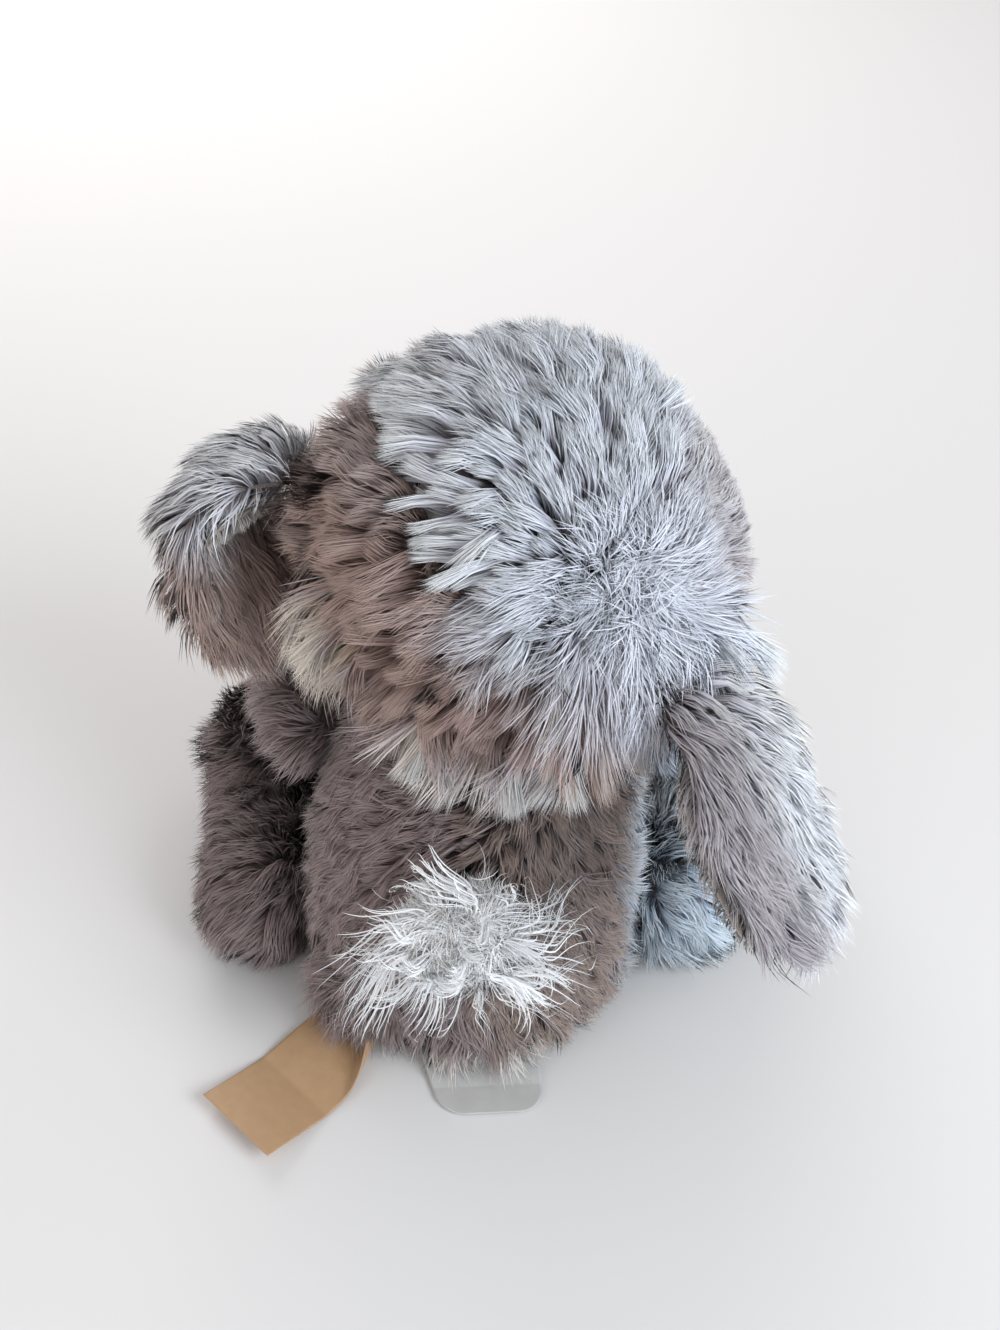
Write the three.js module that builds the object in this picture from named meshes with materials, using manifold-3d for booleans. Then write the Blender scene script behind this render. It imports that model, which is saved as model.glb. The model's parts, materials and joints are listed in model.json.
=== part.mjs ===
// A seated plush bunny with lop ears, a yarn tail and two sewn-in labels, at its real size.
// Millimetres, Z up. The bunny faces -Y, its own left is +X, and the origin is on the table under its seat.
// Every fur piece is drawn to the height of its dense pile, so a skin here is backing cloth and pile.

import * as THREE from 'three';
import { mergeVertices } from 'three/addons/utils/BufferGeometryUtils.js';
import Module from 'manifold-3d';

const wasm = await Module();
wasm.setup();

const degree = Math.PI / 180;

// Gaps and walls
const clearance = 0.3;
const fillingGap = 0.8;
const bodyPile = 7;
const headPile = 8;
const limbPile = 5;
const footprintDepth = 0.5;

// How many sides the round forms of the limbs have
const limbSides = 14;
const fillingSides = 10;

// Body
const neckHeight = 102;
const seatHalfWidth = 47;
const seatHalfDepth = 45;
const seatBulgeHeight = 24;
const bellyHalfWidth = 45;
const bellyHalfDepth = 43;
const bellyHeight = 54;
const chestHalfWidth = 40;
const chestHalfDepth = 38;
const chestHeight = 84;
const seatEdgeRound = 15;
const seatEdgePower = 4;
const bellyLean = 0.15;
const chestLean = 0.5;
const neckLean = 0.9;
const neckOpeningRadius = 14;
const pelletBagHalfWidth = 31;
const pelletBagHalfDepth = 29;
const pelletBagHeight = 14;
const pelletBagRise = 6;

// Head, which lolls towards the bunny's right
const headRadius = 52;
const headPosition = [-14, -9];
const headTurn = -34;
const headTilt = -9;
const neckSeamAngle = 37;
const neckOverlap = 12;
const neckEdgeRound = 8.4;
const neckThreadRadius = 1.1;
const cheekFullness = 3.5;
const cheekAngle = 62;
const cheekDrop = 12;
const cheekSpread = 30;
const cupAngle = 62;
const jawAngle = 80;

// Face
const eyeRadius = 6;
const eyeDomeHeight = 4.5;
const eyeDomeRings = 4;
const eyeSpread = 36;
const eyeLift = 6;
const eyeSeatDepth = 3;
const eyeShankRadius = 1.6;
const eyeShankLength = 13;
const eyeWasherRadius = 6.5;
const eyeWasherThickness = 1.6;
const eyeWasherGap = 1.5;
const muzzleLobeRadii = [14, 12, 12];
const muzzleLobeSpread = 8.5;
const muzzleDrop = 15;
const muzzleReach = 5;
const noseHalfWidth = 6;
const noseHeight = 8;
const noseThickness = 4;
const noseTaper = 0.65;
const noseLift = 8;
const noseStandOut = 1.3;

// Ears
const earRootAcross = 71;
const earRootLift = 6.5;
const earRootRadius = 6.5;
const earHalfThickness = 8;
const earHalfWidth = 20;
const earRootHalfWidth = 13;
const earWidthShares = [0.9, 1, 1, 0.9, 0.7];
const liningHalfThickness = 2.2;
const liningShare = 0.68;
const earTipRound = 14;

// Arms
const shoulderDrop = 23;
const shoulderForward = 14;
const armRootRadius = 12;
const armRootInset = 6;
const armRadius = 12.5;
const pawRadius = 14.5;
const armFacingRise = 0.4;
const armLength = 35;
const armCurve = [
  [-0.06, 0.27, 0.14],
  [0, 0, 0],
  [0.06, -0.34, -0.11],
  [0.17, -0.63, -0.26],
  [0.29, -0.86, -0.43],
];

// Legs
const hipSetback = 4;
const thighRadius = 19;
const thighSetback = 17;
const shinRadius = 16.5;
const toeRound = 13;
const legLength = 56;
const legOffset = 10.5;
const legSplay = { left: 7, right: 16 };
const footHeight = 56;
const footHalfWidth = 17;
const footHalfDepth = 12.5;
const footSetback = 6;
const footLean = 12;
const footPadThickness = 2.5;
const footPadMargin = 5;
const footPadInset = 0.5;

// Tail
const tailPitch = 6;
const tailHeight = 58;
const tailSide = 2;
const tailHalfWidth = 20;
const tailHalfHeight = 20;
const tailReach = 12;

// Labels
const careLabelWidth = 27;
const careLabelLength = 52;
const careLabelCurl = 5;
const careLabelDirection = 46;
const whiteLabelWidth = 34;
const whiteLabelLength = 22;
const whiteLabelCurl = 1;
const whiteLabelDirection = 93;
const labelThickness = 0.8;
const labelSeamHeight = 2.4;
const labelTuck = 4;
const labelLift = 25;
const labelLeaves = 0.3;
const labelLands = 0.6;

// Colours and finishes
const furColour = 0xada59f;
const shortFurColour = 0xcbbfb4;
const tailColour = 0xeeece6;
const fillingColour = 0xf4f3ee;
const pelletColour = 0xe3ded2;
const threadColour = 0x8d8580;
const eyeColour = 0x14100e;
const noseColour = 0x7a5a55;
const careLabelColour = 0xd0aa7c;
const whiteLabelColour = 0xe9e7e4;

const toy = new THREE.Group();
const head = new THREE.Group();

// Solids and meshes

function toSolid(geometry) {
  const bare = geometry.clone();
  bare.deleteAttribute('normal');
  bare.deleteAttribute('uv');
  const merged = mergeVertices(bare, 1e-4);
  const mesh = new wasm.Mesh({
    numProp: 3,
    vertProperties: new Float32Array(merged.attributes.position.array),
    triVerts: new Uint32Array(merged.index.array),
  });
  return new wasm.Manifold(mesh);
}

function toGeometry(solid) {
  const { vertProperties, triVerts, numProp } = solid.getMesh();
  const positions = [];
  for (let i = 0; i < vertProperties.length; i += numProp) {
    positions.push(vertProperties[i], vertProperties[i + 1], vertProperties[i + 2]);
  }
  const geometry = new THREE.BufferGeometry();
  geometry.setAttribute('position', new THREE.Float32BufferAttribute(positions, 3));
  geometry.setIndex(new THREE.Uint32BufferAttribute(triVerts, 1));
  return geometry;
}

function addPiece(parent, name, solid, colour, roughness = 0.95) {
  const material = new THREE.MeshStandardMaterial({ color: colour, roughness, metalness: 0 });
  const mesh = new THREE.Mesh(toGeometry(solid), material);
  mesh.name = name;
  parent.add(mesh);
  return mesh;
}

// A closed form whose elliptical section follows a spine. A station is [x, y, z, half width, half depth],
// and `facing` is the way the half depth points. The ends close as quarter ellipses of the given lengths,
// or flatter where `startPower` is above 2.
function softForm(options) {
  const { stations, facing, startRound, endRound } = options;
  const { startPower = 2, sides = 16, capRings = 3, spanRings = 7 } = options;
  const spine = new THREE.CatmullRomCurve3(stations.map((s) => new THREE.Vector3(s[0], s[1], s[2])));
  const sizes = new THREE.CatmullRomCurve3(stations.map((s) => new THREE.Vector3(s[3], s[4], 0)));
  const length = spine.getLength();
  const depthWay = new THREE.Vector3(...facing).normalize();
  const distances = [];
  for (let i = 1; i <= capRings; i += 1) {
    distances.push(startRound * (1 - Math.cos((i / capRings) * Math.PI / 2)));
  }
  for (let i = 1; i < spanRings; i += 1) {
    distances.push(startRound + (length - startRound - endRound) * (i / spanRings));
  }
  for (let i = capRings; i >= 1; i -= 1) {
    distances.push(length - endRound * (1 - Math.cos((i / capRings) * Math.PI / 2)));
  }
  const positions = [];
  const index = [];
  const start = spine.getPoint(0);
  positions.push(start.x, start.y, start.z);
  for (const distance of distances) {
    const t = spine.getUtoTmapping(0, distance);
    const centre = spine.getPoint(t);
    const tangent = spine.getTangent(t);
    const size = sizes.getPoint(t);
    const fromStart = Math.min(1, distance / startRound);
    const fromEnd = Math.min(1, (length - distance) / endRound);
    const startClosing = (1 - (1 - fromStart) ** startPower) ** (1 / startPower);
    const closing = startClosing * Math.sqrt(1 - (1 - fromEnd) ** 2);
    const across = new THREE.Vector3().crossVectors(depthWay, tangent).normalize();
    const outward = new THREE.Vector3().crossVectors(tangent, across);
    for (let j = 0; j < sides; j += 1) {
      const angle = (j / sides) * Math.PI * 2;
      const point = centre.clone()
        .addScaledVector(across, size.x * closing * Math.cos(angle))
        .addScaledVector(outward, size.y * closing * Math.sin(angle));
      positions.push(point.x, point.y, point.z);
    }
  }
  const end = spine.getPoint(1);
  positions.push(end.x, end.y, end.z);
  const last = positions.length / 3 - 1;
  const lastRing = distances.length - 1;
  for (let j = 0; j < sides; j += 1) {
    const next = (j + 1) % sides;
    index.push(0, 1 + next, 1 + j);
    for (let i = 0; i < lastRing; i += 1) {
      const a = 1 + i * sides + j;
      const b = 1 + i * sides + next;
      index.push(a, b, b + sides);
      index.push(a, b + sides, a + sides);
    }
    index.push(last, 1 + lastRing * sides + j, 1 + lastRing * sides + next);
  }
  const form = new THREE.BufferGeometry();
  form.setAttribute('position', new THREE.Float32BufferAttribute(positions, 3));
  form.setIndex(index);
  return form;
}

// The same form moved out along its surface normals, or in where `distance` is negative.
function offsetForm(form, distance) {
  const moved = form.clone();
  moved.computeVertexNormals();
  const { position, normal } = moved.attributes;
  for (let i = 0; i < position.count; i += 1) {
    position.setXYZ(
      i,
      position.getX(i) + distance * normal.getX(i),
      position.getY(i) + distance * normal.getY(i),
      position.getZ(i) + distance * normal.getZ(i),
    );
  }
  moved.deleteAttribute('normal');
  return moved;
}

function ellipsoidForm(centre, radii, turn = [0, 0, 0], widthSides = 16, heightSides = 10) {
  const form = new THREE.SphereGeometry(1, widthSides, heightSides);
  form.deleteAttribute('normal');
  form.deleteAttribute('uv');
  const merged = mergeVertices(form, 1e-4);
  const place = new THREE.Matrix4().compose(
    new THREE.Vector3(...centre),
    new THREE.Quaternion().setFromEuler(new THREE.Euler(...turn.map((a) => a * degree), 'ZYX')),
    new THREE.Vector3(...radii),
  );
  return merged.applyMatrix4(place);
}

function ball(centre, radius) {
  return toSolid(ellipsoidForm(centre, [radius, radius, radius], [90, 0, 0], 36, 26));
}

// Everything on the side of the plane that `normal` points to, `offset` from the origin along it.
function halfSpace(normal, offset) {
  const reach = 600;
  const block = new THREE.BoxGeometry(reach, reach, reach);
  const way = new THREE.Vector3(...normal).normalize();
  block.translate(0, 0, reach / 2);
  block.applyQuaternion(new THREE.Quaternion().setFromUnitVectors(new THREE.Vector3(0, 0, 1), way));
  block.translate(way.x * offset, way.y * offset, way.z * offset);
  return toSolid(block);
}

// A solid of revolution drawn along +Z as [radius, height] points, then stood at `at` pointing `way`.
function turned(profile, at, way, sides = 16) {
  const form = new THREE.LatheGeometry(profile.map(([r, z]) => new THREE.Vector2(r, z)), sides);
  form.rotateX(Math.PI / 2);
  form.applyQuaternion(new THREE.Quaternion().setFromUnitVectors(new THREE.Vector3(0, 0, 1), way));
  form.translate(at.x, at.y, at.z);
  return toSolid(form);
}

// Where a form reaches furthest along a direction.
function furthestPoint(form, way) {
  const { position } = form.attributes;
  const best = new THREE.Vector3();
  const point = new THREE.Vector3();
  let reach = -Infinity;
  for (let i = 0; i < position.count; i += 1) {
    point.fromBufferAttribute(position, i);
    if (point.dot(way) > reach) {
      reach = point.dot(way);
      best.copy(point);
    }
  }
  return best;
}

// How far the line from `from` along `way` runs before it leaves a form for good.
function furthestAlong(form, from, way) {
  const line = new THREE.Raycaster(from.clone().addScaledVector(way, 1000), way.clone().negate());
  const hits = line.intersectObject(new THREE.Mesh(form, new THREE.MeshBasicMaterial()));
  return 1000 - hits[0].distance;
}

const table = halfSpace([0, 0, -1], 0);

// Neck: the head is a ball that sits in a cup in the top of the body, and a ring of thread closes the seam
const neckSeat = headRadius + clearance;
const seamRadius = (neckSeat + neckThreadRadius) * Math.sin(neckSeamAngle * degree);
const seamDrop = (neckSeat + neckThreadRadius) * Math.cos(neckSeamAngle * degree);
const headCentre = new THREE.Vector3(headPosition[0], headPosition[1], neckHeight + seamDrop);
const rimHeight = neckHeight - neckThreadRadius - clearance;

// Body
const neckRimHalfWidth = seamRadius + 2 * neckThreadRadius;
const lean = (share) => [headPosition[0] * share, headPosition[1] * share];

function bodyShape(sides, spanRings) {
  return softForm({
    stations: [
      [0, 0, -footprintDepth, seatHalfWidth, seatHalfDepth],
      [0, 0, seatBulgeHeight, seatHalfWidth, seatHalfDepth],
      [...lean(bellyLean), bellyHeight, bellyHalfWidth, bellyHalfDepth],
      [...lean(chestLean), chestHeight, chestHalfWidth, chestHalfDepth],
      [...lean(neckLean), neckHeight + neckOverlap, neckRimHalfWidth, neckRimHalfWidth],
    ],
    facing: [0, 1, 0],
    startRound: seatEdgeRound,
    startPower: seatEdgePower,
    endRound: neckEdgeRound,
    sides,
    capRings: 4,
    spanRings,
  });
}

const bodyForm = bodyShape(24, 7);
const grownBody = toSolid(offsetForm(bodyForm, clearance));

// What is inside the body, `wall` in from its surface, its cup and its rim.
function bodyInside(wall, form = bodyForm) {
  return toSolid(offsetForm(form, -wall))
    .subtract(ball(headCentre.toArray(), neckSeat + wall))
    .subtract(halfSpace([0, 0, 1], rimHeight - wall));
}

function makeBody() {
  const opening = turned(
    [[0, -headRadius], [neckOpeningRadius, -headRadius], [neckOpeningRadius, 0], [0, 0]],
    new THREE.Vector3(headCentre.x, headCentre.y, neckHeight),
    new THREE.Vector3(0, 0, 1),
  );
  const upperBody = opening.intersect(ball(headCentre.toArray(), neckSeat + bodyPile + clearance));
  const skin = toSolid(bodyForm)
    .subtract(ball(headCentre.toArray(), neckSeat))
    .subtract(halfSpace([0, 0, 1], rimHeight))
    .subtract(table)
    .subtract(bodyInside(bodyPile))
    .subtract(upperBody);
  addPiece(toy, 'body_skin', skin, furColour);

  const bagCentre = [0, 0, bodyPile + pelletBagRise];
  const bagRadii = [pelletBagHalfWidth, pelletBagHalfDepth, pelletBagHeight];
  const bagForm = ellipsoidForm(bagCentre, bagRadii, [0, 0, 0], 20, 12);
  const bag = toSolid(bagForm).intersect(bodyInside(bodyPile + clearance));
  const filling = bodyInside(bodyPile + fillingGap, bodyShape(16, 5))
    .subtract(toSolid(offsetForm(bagForm, fillingGap)));
  addPiece(toy, 'body_stuffing', filling, fillingColour);
  addPiece(toy, 'pellet_bag', bag, pelletColour);
}

function makeNeckSeam() {
  const ring = new THREE.TorusGeometry(seamRadius, neckThreadRadius, 6, 36);
  ring.translate(headCentre.x, headCentre.y, neckHeight);
  addPiece(toy, 'neck_seam', toSolid(ring), threadColour);
}

// Head, drawn about its own centre before it lolls
function cheekSwell(way) {
  const drop = -Math.sin(cheekDrop * degree);
  let swell = 0;
  for (const side of [-1, 1]) {
    const cheek = new THREE.Vector3(
      side * Math.sin(cheekAngle * degree),
      -Math.cos(cheekAngle * degree),
      drop,
    ).normalize();
    const away = way.angleTo(cheek) / (cheekSpread * degree);
    swell += cheekFullness * Math.exp(-away * away);
  }
  return swell;
}

function headShape(widthSides, heightSides) {
  const form = ellipsoidForm([0, 0, 0], [1, 1, 1], [90, 0, 0], widthSides, heightSides);
  const { position } = form.attributes;
  const way = new THREE.Vector3();
  for (let i = 0; i < position.count; i += 1) {
    way.fromBufferAttribute(position, i).normalize();
    const fromUnderneath = way.angleTo(new THREE.Vector3(0, 0, -1)) / degree;
    const free = THREE.MathUtils.smoothstep(fromUnderneath, cupAngle, jawAngle);
    const radius = headRadius + free * cheekSwell(way);
    position.setXYZ(i, way.x * radius, way.y * radius, way.z * radius);
  }
  return form;
}

const headForm = headShape(30, 20);
const sides = { left: 1, right: -1 };

function eyeWay(side) {
  const across = side * eyeSpread * degree;
  const lift = eyeLift * degree;
  return new THREE.Vector3(
    Math.sin(across) * Math.cos(lift),
    -Math.cos(across) * Math.cos(lift),
    Math.sin(lift),
  );
}

// A turned piece on the eye's own line, with heights counted from the back of the eye's dome.
function onEyeLine(side, profile) {
  const way = eyeWay(side);
  const back = headRadius + cheekSwell(way) - eyeSeatDepth;
  return turned(profile, way.clone().multiplyScalar(back), way);
}

function makeEye(side) {
  const profile = [
    [0, -eyeShankLength],
    [eyeShankRadius, -eyeShankLength],
    [eyeShankRadius, 0],
  ];
  for (let i = 0; i < eyeDomeRings; i += 1) {
    const angle = (i / eyeDomeRings) * Math.PI / 2;
    profile.push([eyeRadius * Math.cos(angle), eyeDomeHeight * Math.sin(angle)]);
  }
  profile.push([0, eyeDomeHeight]);
  return onEyeLine(side, profile);
}

// The seat of an eye: a hole for its shank and a well for its dome, open to the front.
function eyeSeat(side) {
  const shank = eyeShankRadius + clearance;
  const well = eyeRadius + clearance;
  const front = 3 * eyeDomeHeight;
  return onEyeLine(side, [
    [0, -eyeShankLength],
    [shank, -eyeShankLength],
    [shank, -clearance],
    [well, -clearance],
    [well, front],
    [0, front],
  ]);
}

function makeEyeWasher(side) {
  const top = eyeSeatDepth - headPile - eyeWasherGap;
  const bottom = top - eyeWasherThickness;
  const bore = eyeShankRadius + clearance;
  return onEyeLine(side, [
    [bore, bottom],
    [eyeWasherRadius, bottom],
    [eyeWasherRadius, top],
    [bore, top],
    [bore, bottom],
  ]);
}

// The room in the filling for a washer, open to the skin in front of it.
function eyeWasherSeat(side) {
  const bottom = eyeSeatDepth - headPile - eyeWasherGap - eyeWasherThickness - fillingGap;
  const outer = eyeWasherRadius + fillingGap;
  return onEyeLine(side, [[0, bottom], [outer, bottom], [outer, 0], [0, 0]]);
}

function muzzleForm(side) {
  const centre = [side * muzzleLobeSpread, -headRadius - muzzleReach + muzzleLobeRadii[1], -muzzleDrop];
  return ellipsoidForm(centre, muzzleLobeRadii, [0, 0, 0], 16, 12);
}

function makeNose() {
  const top = noseHeight / 2;
  const corner = noseHeight / 4;
  const cheekIn = noseHalfWidth * noseTaper;
  const cheekDown = -top * noseTaper;
  const outline = new THREE.Shape();
  outline.moveTo(-noseHalfWidth, corner);
  outline.quadraticCurveTo(-noseHalfWidth, top, 0, top);
  outline.quadraticCurveTo(noseHalfWidth, top, noseHalfWidth, corner);
  outline.quadraticCurveTo(cheekIn, cheekDown, 0, -top);
  outline.quadraticCurveTo(-cheekIn, cheekDown, -noseHalfWidth, corner);
  const bevel = noseThickness / 4;
  const form = new THREE.ExtrudeGeometry(outline, {
    depth: noseThickness * 2,
    bevelEnabled: true,
    bevelThickness: bevel,
    bevelSize: bevel,
    bevelOffset: -bevel,
    bevelSegments: 2,
    curveSegments: 4,
  });
  form.rotateX(Math.PI / 2);
  const front = -headRadius - muzzleReach - noseStandOut;
  form.translate(0, front + 2 * noseThickness, noseLift - muzzleDrop);
  return toSolid(form);
}

function makeHead() {
  const outer = toSolid(headForm);
  const cavity = toSolid(offsetForm(headForm, -headPile));
  const opening = turned(
    [[0, -headRadius], [neckOpeningRadius, -headRadius], [neckOpeningRadius, 0], [0, 0]],
    new THREE.Vector3(0, 0, -headRadius / 2),
    new THREE.Vector3(0, 0, 1),
  );
  let skin = outer.subtract(cavity).subtract(opening);
  let filling = toSolid(offsetForm(headShape(20, 14), -headPile - fillingGap));
  for (const [name, side] of Object.entries(sides)) {
    skin = skin.subtract(eyeSeat(side));
    filling = filling.subtract(eyeSeat(side)).subtract(eyeWasherSeat(side));
    addPiece(head, `eye_${name}`, makeEye(side), eyeColour, 0.12);
    addPiece(head, `eye_washer_${name}`, makeEyeWasher(side), whiteLabelColour, 0.5);
  }
  addPiece(head, 'head_skin', skin, furColour);
  addPiece(head, 'head_stuffing', filling, fillingColour);

  const grownHead = toSolid(offsetForm(headForm, clearance));
  const lobe = (side, grow) => toSolid(offsetForm(muzzleForm(side), grow));
  const lobes = (grow) => lobe(-1, grow).add(lobe(1, grow));
  const nose = makeNose().subtract(lobes(clearance)).subtract(grownHead);
  addPiece(head, 'muzzle', lobes(0).subtract(grownHead), shortFurColour);
  addPiece(head, 'nose', nose, noseColour, 0.8);
}

// Ears: a furry back and a short-pile lining let into its underside, hinged on the seam at the root
const earDrops = {
  left: [[0, 0, 0], [15, 7, -5], [23, 11, -16], [18, 12, -33], [10, 10, -48], [4, 8, -59]],
  right: [[0, 0, 0], [19, 4, -7], [31, 6, -21], [40, 7, -32], [48, 8, -41], [55, 9, -49]],
};
const earHalfWidths = [earRootHalfWidth, ...earWidthShares.map((share) => share * earHalfWidth)];

function earRoot(side) {
  const across = earRootAcross * degree;
  const way = new THREE.Vector3(
    side * Math.sin(across),
    Math.cos(across),
    Math.tan(earRootLift * degree),
  ).normalize();
  return way.multiplyScalar(headRadius + cheekSwell(way) + 2 * clearance);
}

function earStations(name, side, shift, thickness, share) {
  const root = earRoot(side);
  const facing = new THREE.Vector3(side, 0, 1).normalize();
  return earDrops[name].map(([out, back, up], i) => [
    root.x + side * out + facing.x * shift,
    root.y + back,
    root.z + up + facing.z * shift,
    earHalfWidths[i] * share,
    Math.min(thickness, i === 0 ? earRootRadius : thickness),
  ]);
}

function makeEar(name, side) {
  const facing = [side, 0, 1];
  const back = softForm({
    stations: earStations(name, side, 0, earHalfThickness, 1),
    facing,
    startRound: earRootRadius,
    endRound: earTipRound,
  });
  const liningShift = liningHalfThickness / 2 - earHalfThickness;
  const lining = softForm({
    stations: earStations(name, side, liningShift, liningHalfThickness, liningShare).slice(1),
    facing,
    startRound: earTipRound,
    endRound: earTipRound,
    sides: 10,
  });
  const grownHead = toSolid(offsetForm(headForm, clearance));
  const fur = toSolid(back).subtract(grownHead).subtract(toSolid(offsetForm(lining, clearance)));
  addPiece(head, `ear_${name}`, fur, furColour);
  addPiece(head, `ear_${name}_lining`, toSolid(lining).subtract(grownHead), shortFurColour);
}

// Arms and legs are cut flat where they meet the body, because a sewn limb turns about that seam.
// An arm is sewn on at the shoulder, on the plane that touches the body's side there.
function shoulder(side) {
  const forward = shoulderForward * degree;
  const level = new THREE.Vector3(side * Math.cos(forward), -Math.sin(forward), 0);
  const point = new THREE.Vector3(0, 0, neckHeight - shoulderDrop);
  point.addScaledVector(level, furthestAlong(bodyForm, point, level));
  let way = level;
  let leastGap = Infinity;
  for (let pitch = 0; pitch < 60; pitch += 1) {
    const tipped = level.clone().multiplyScalar(Math.cos(pitch * degree));
    tipped.z = Math.sin(pitch * degree);
    const gap = furthestPoint(bodyForm, tipped).dot(tipped) - point.dot(tipped);
    if (gap < leastGap) {
      leastGap = gap;
      way = tipped;
    }
  }
  return { point: point.addScaledVector(way, leastGap), way };
}

function makeArm(name, side) {
  const { point: contact, way } = shoulder(side);
  const root = contact.clone().addScaledVector(way, armRootInset);
  const radii = [armRootRadius, armRootRadius, armRootRadius, armRadius, pawRadius];
  const stations = armCurve.map(([out, forward, up], i) => [
    root.x + side * out * armLength,
    root.y + forward * armLength,
    root.z + up * armLength,
    radii[i],
    radii[i],
  ]);
  const limb = (rimSides) => softForm({
    stations,
    facing: [side, 0, armFacingRise],
    startRound: armRootRadius,
    endRound: pawRadius,
    sides: rimSides,
    spanRings: 6,
  });
  const seamPlane = contact.dot(way) + clearance;
  const bodySide = halfSpace(way.clone().negate().toArray(), -seamPlane);
  const outside = limb(limbSides);
  const inside = toSolid(offsetForm(outside, -limbPile));
  const filling = toSolid(offsetForm(limb(fillingSides), -limbPile - fillingGap)).subtract(bodySide);
  addPiece(toy, `arm_${name}`, toSolid(outside).subtract(bodySide).subtract(inside), furColour);
  addPiece(toy, `arm_${name}_stuffing`, filling, fillingColour);
}

function makeLeg(name, side) {
  const seamPlane = Math.abs(furthestPoint(bodyForm, new THREE.Vector3(side, 0, 0)).x) + clearance;
  const splay = legSplay[name] * degree;
  const forward = [side * Math.sin(splay), -Math.cos(splay)];
  const along = (distance, height, radius) => [
    side * (seamPlane + legOffset) + forward[0] * distance,
    -hipSetback + forward[1] * distance,
    height,
    radius,
    radius,
  ];
  const hipHeight = thighRadius - footprintDepth;
  const shinHeight = shinRadius - footprintDepth;
  const limb = (wall, rimSides) => toSolid(offsetForm(softForm({
    stations: [
      along(-thighSetback, hipHeight, thighRadius),
      along(0, hipHeight, thighRadius),
      along(legLength / 2, shinHeight, shinRadius),
      along(legLength, shinHeight, shinRadius),
    ],
    facing: [0, 0, 1],
    startRound: thighRadius,
    endRound: toeRound,
    sides: rimSides,
    spanRings: 5,
  }), -wall));
  const footCentre = along(legLength - footSetback, footHeight / 2 - footprintDepth, 0).slice(0, 3);
  const footTurn = [-footLean, 0, side * legSplay[name]];
  const footRadii = [footHalfWidth, footHalfDepth, footHeight / 2];
  const foot = (wall, footSides) => {
    const rings = Math.round(footSides * 0.65);
    return toSolid(offsetForm(ellipsoidForm(footCentre, footRadii, footTurn, footSides, rings), -wall));
  };
  const whole = (wall, wholeSides) => limb(wall, wholeSides).add(foot(wall, wholeSides));
  const padReach = footHalfDepth - footPadInset;
  const padCentre = [
    footCentre[0] + forward[0] * padReach,
    footCentre[1] + forward[1] * padReach,
    footCentre[2] + padReach * Math.sin(footLean * degree),
  ];
  const padRadii = [footHalfWidth - footPadMargin, footPadThickness, footHeight / 2 - footPadMargin];
  const padForm = ellipsoidForm(padCentre, padRadii, footTurn, 16, 8);
  const bodySide = halfSpace([-side, 0, 0], -seamPlane);
  const skin = whole(0, limbSides)
    .subtract(whole(limbPile, limbSides))
    .subtract(bodySide)
    .subtract(table)
    .subtract(toSolid(offsetForm(padForm, clearance)));
  const filling = whole(limbPile + fillingGap, fillingSides).subtract(bodySide);
  addPiece(toy, `leg_${name}`, skin, furColour);
  addPiece(toy, `leg_${name}_stuffing`, filling, fillingColour);
  addPiece(toy, `foot_pad_${name}`, toSolid(padForm), shortFurColour);
}

// The tail is a tuft of yarn, tied to the body at one point
function makeTail() {
  const pitch = tailPitch * degree;
  const way = new THREE.Vector3(0, Math.cos(pitch), Math.sin(pitch));
  const beside = new THREE.Vector3(tailSide, 0, tailHeight);
  const gap = furthestAlong(bodyForm, beside, way);
  const centre = beside.addScaledVector(way, gap + tailReach + clearance);
  const radii = [tailHalfWidth, tailReach, tailHalfHeight];
  const form = ellipsoidForm(centre.toArray(), radii, [tailPitch, 0, 0], 20, 12);
  addPiece(toy, 'tail', toSolid(form).subtract(grownBody), tailColour);
}

// A label is a ribbon that leaves the seat seam and comes down to the table. It starts tucked in under
// the body's curve and is cut back to it, for every angle that the label can be lifted to.
function makeLabel(name, colour, { width, freeLength, curl, direction }) {
  const towards = direction * degree;
  const way = new THREE.Vector3(Math.cos(towards), Math.sin(towards), 0);
  const seam = new THREE.Vector3(0, 0, labelSeamHeight);
  seam.addScaledVector(way, furthestAlong(bodyForm, seam, way));
  const length = freeLength + labelTuck;
  const path = new THREE.CatmullRomCurve3([
    new THREE.Vector3(0, labelSeamHeight, 0),
    new THREE.Vector3(length * labelLeaves, labelSeamHeight, 0),
    new THREE.Vector3(length * labelLands, labelThickness, 0),
    new THREE.Vector3(length, labelThickness + curl, 0),
  ]);
  const top = [];
  const bottom = [];
  for (const point of path.getSpacedPoints(12)) {
    top.push(new THREE.Vector2(point.x, point.y + labelThickness / 2));
    bottom.unshift(new THREE.Vector2(point.x, point.y - labelThickness / 2));
  }
  const form = new THREE.ExtrudeGeometry(new THREE.Shape([...top, ...bottom]), {
    depth: width,
    bevelEnabled: false,
  });
  form.translate(-labelTuck, 0, -width / 2);
  form.rotateX(Math.PI / 2);
  form.rotateZ(towards);
  form.translate(seam.x, seam.y, 0);
  const across = new THREE.Vector3(-way.y, way.x, 0);
  let ribbon = toSolid(form);
  for (const share of [0, 0.5, 1]) {
    const turn = new THREE.Quaternion().setFromAxisAngle(across, share * labelLift * degree);
    const body = offsetForm(bodyForm, clearance)
      .translate(-seam.x, -seam.y, -seam.z)
      .applyQuaternion(turn)
      .translate(seam.x, seam.y, seam.z);
    ribbon = ribbon.subtract(toSolid(body));
  }
  addPiece(toy, name, ribbon, colour, 0.6);
}

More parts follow.
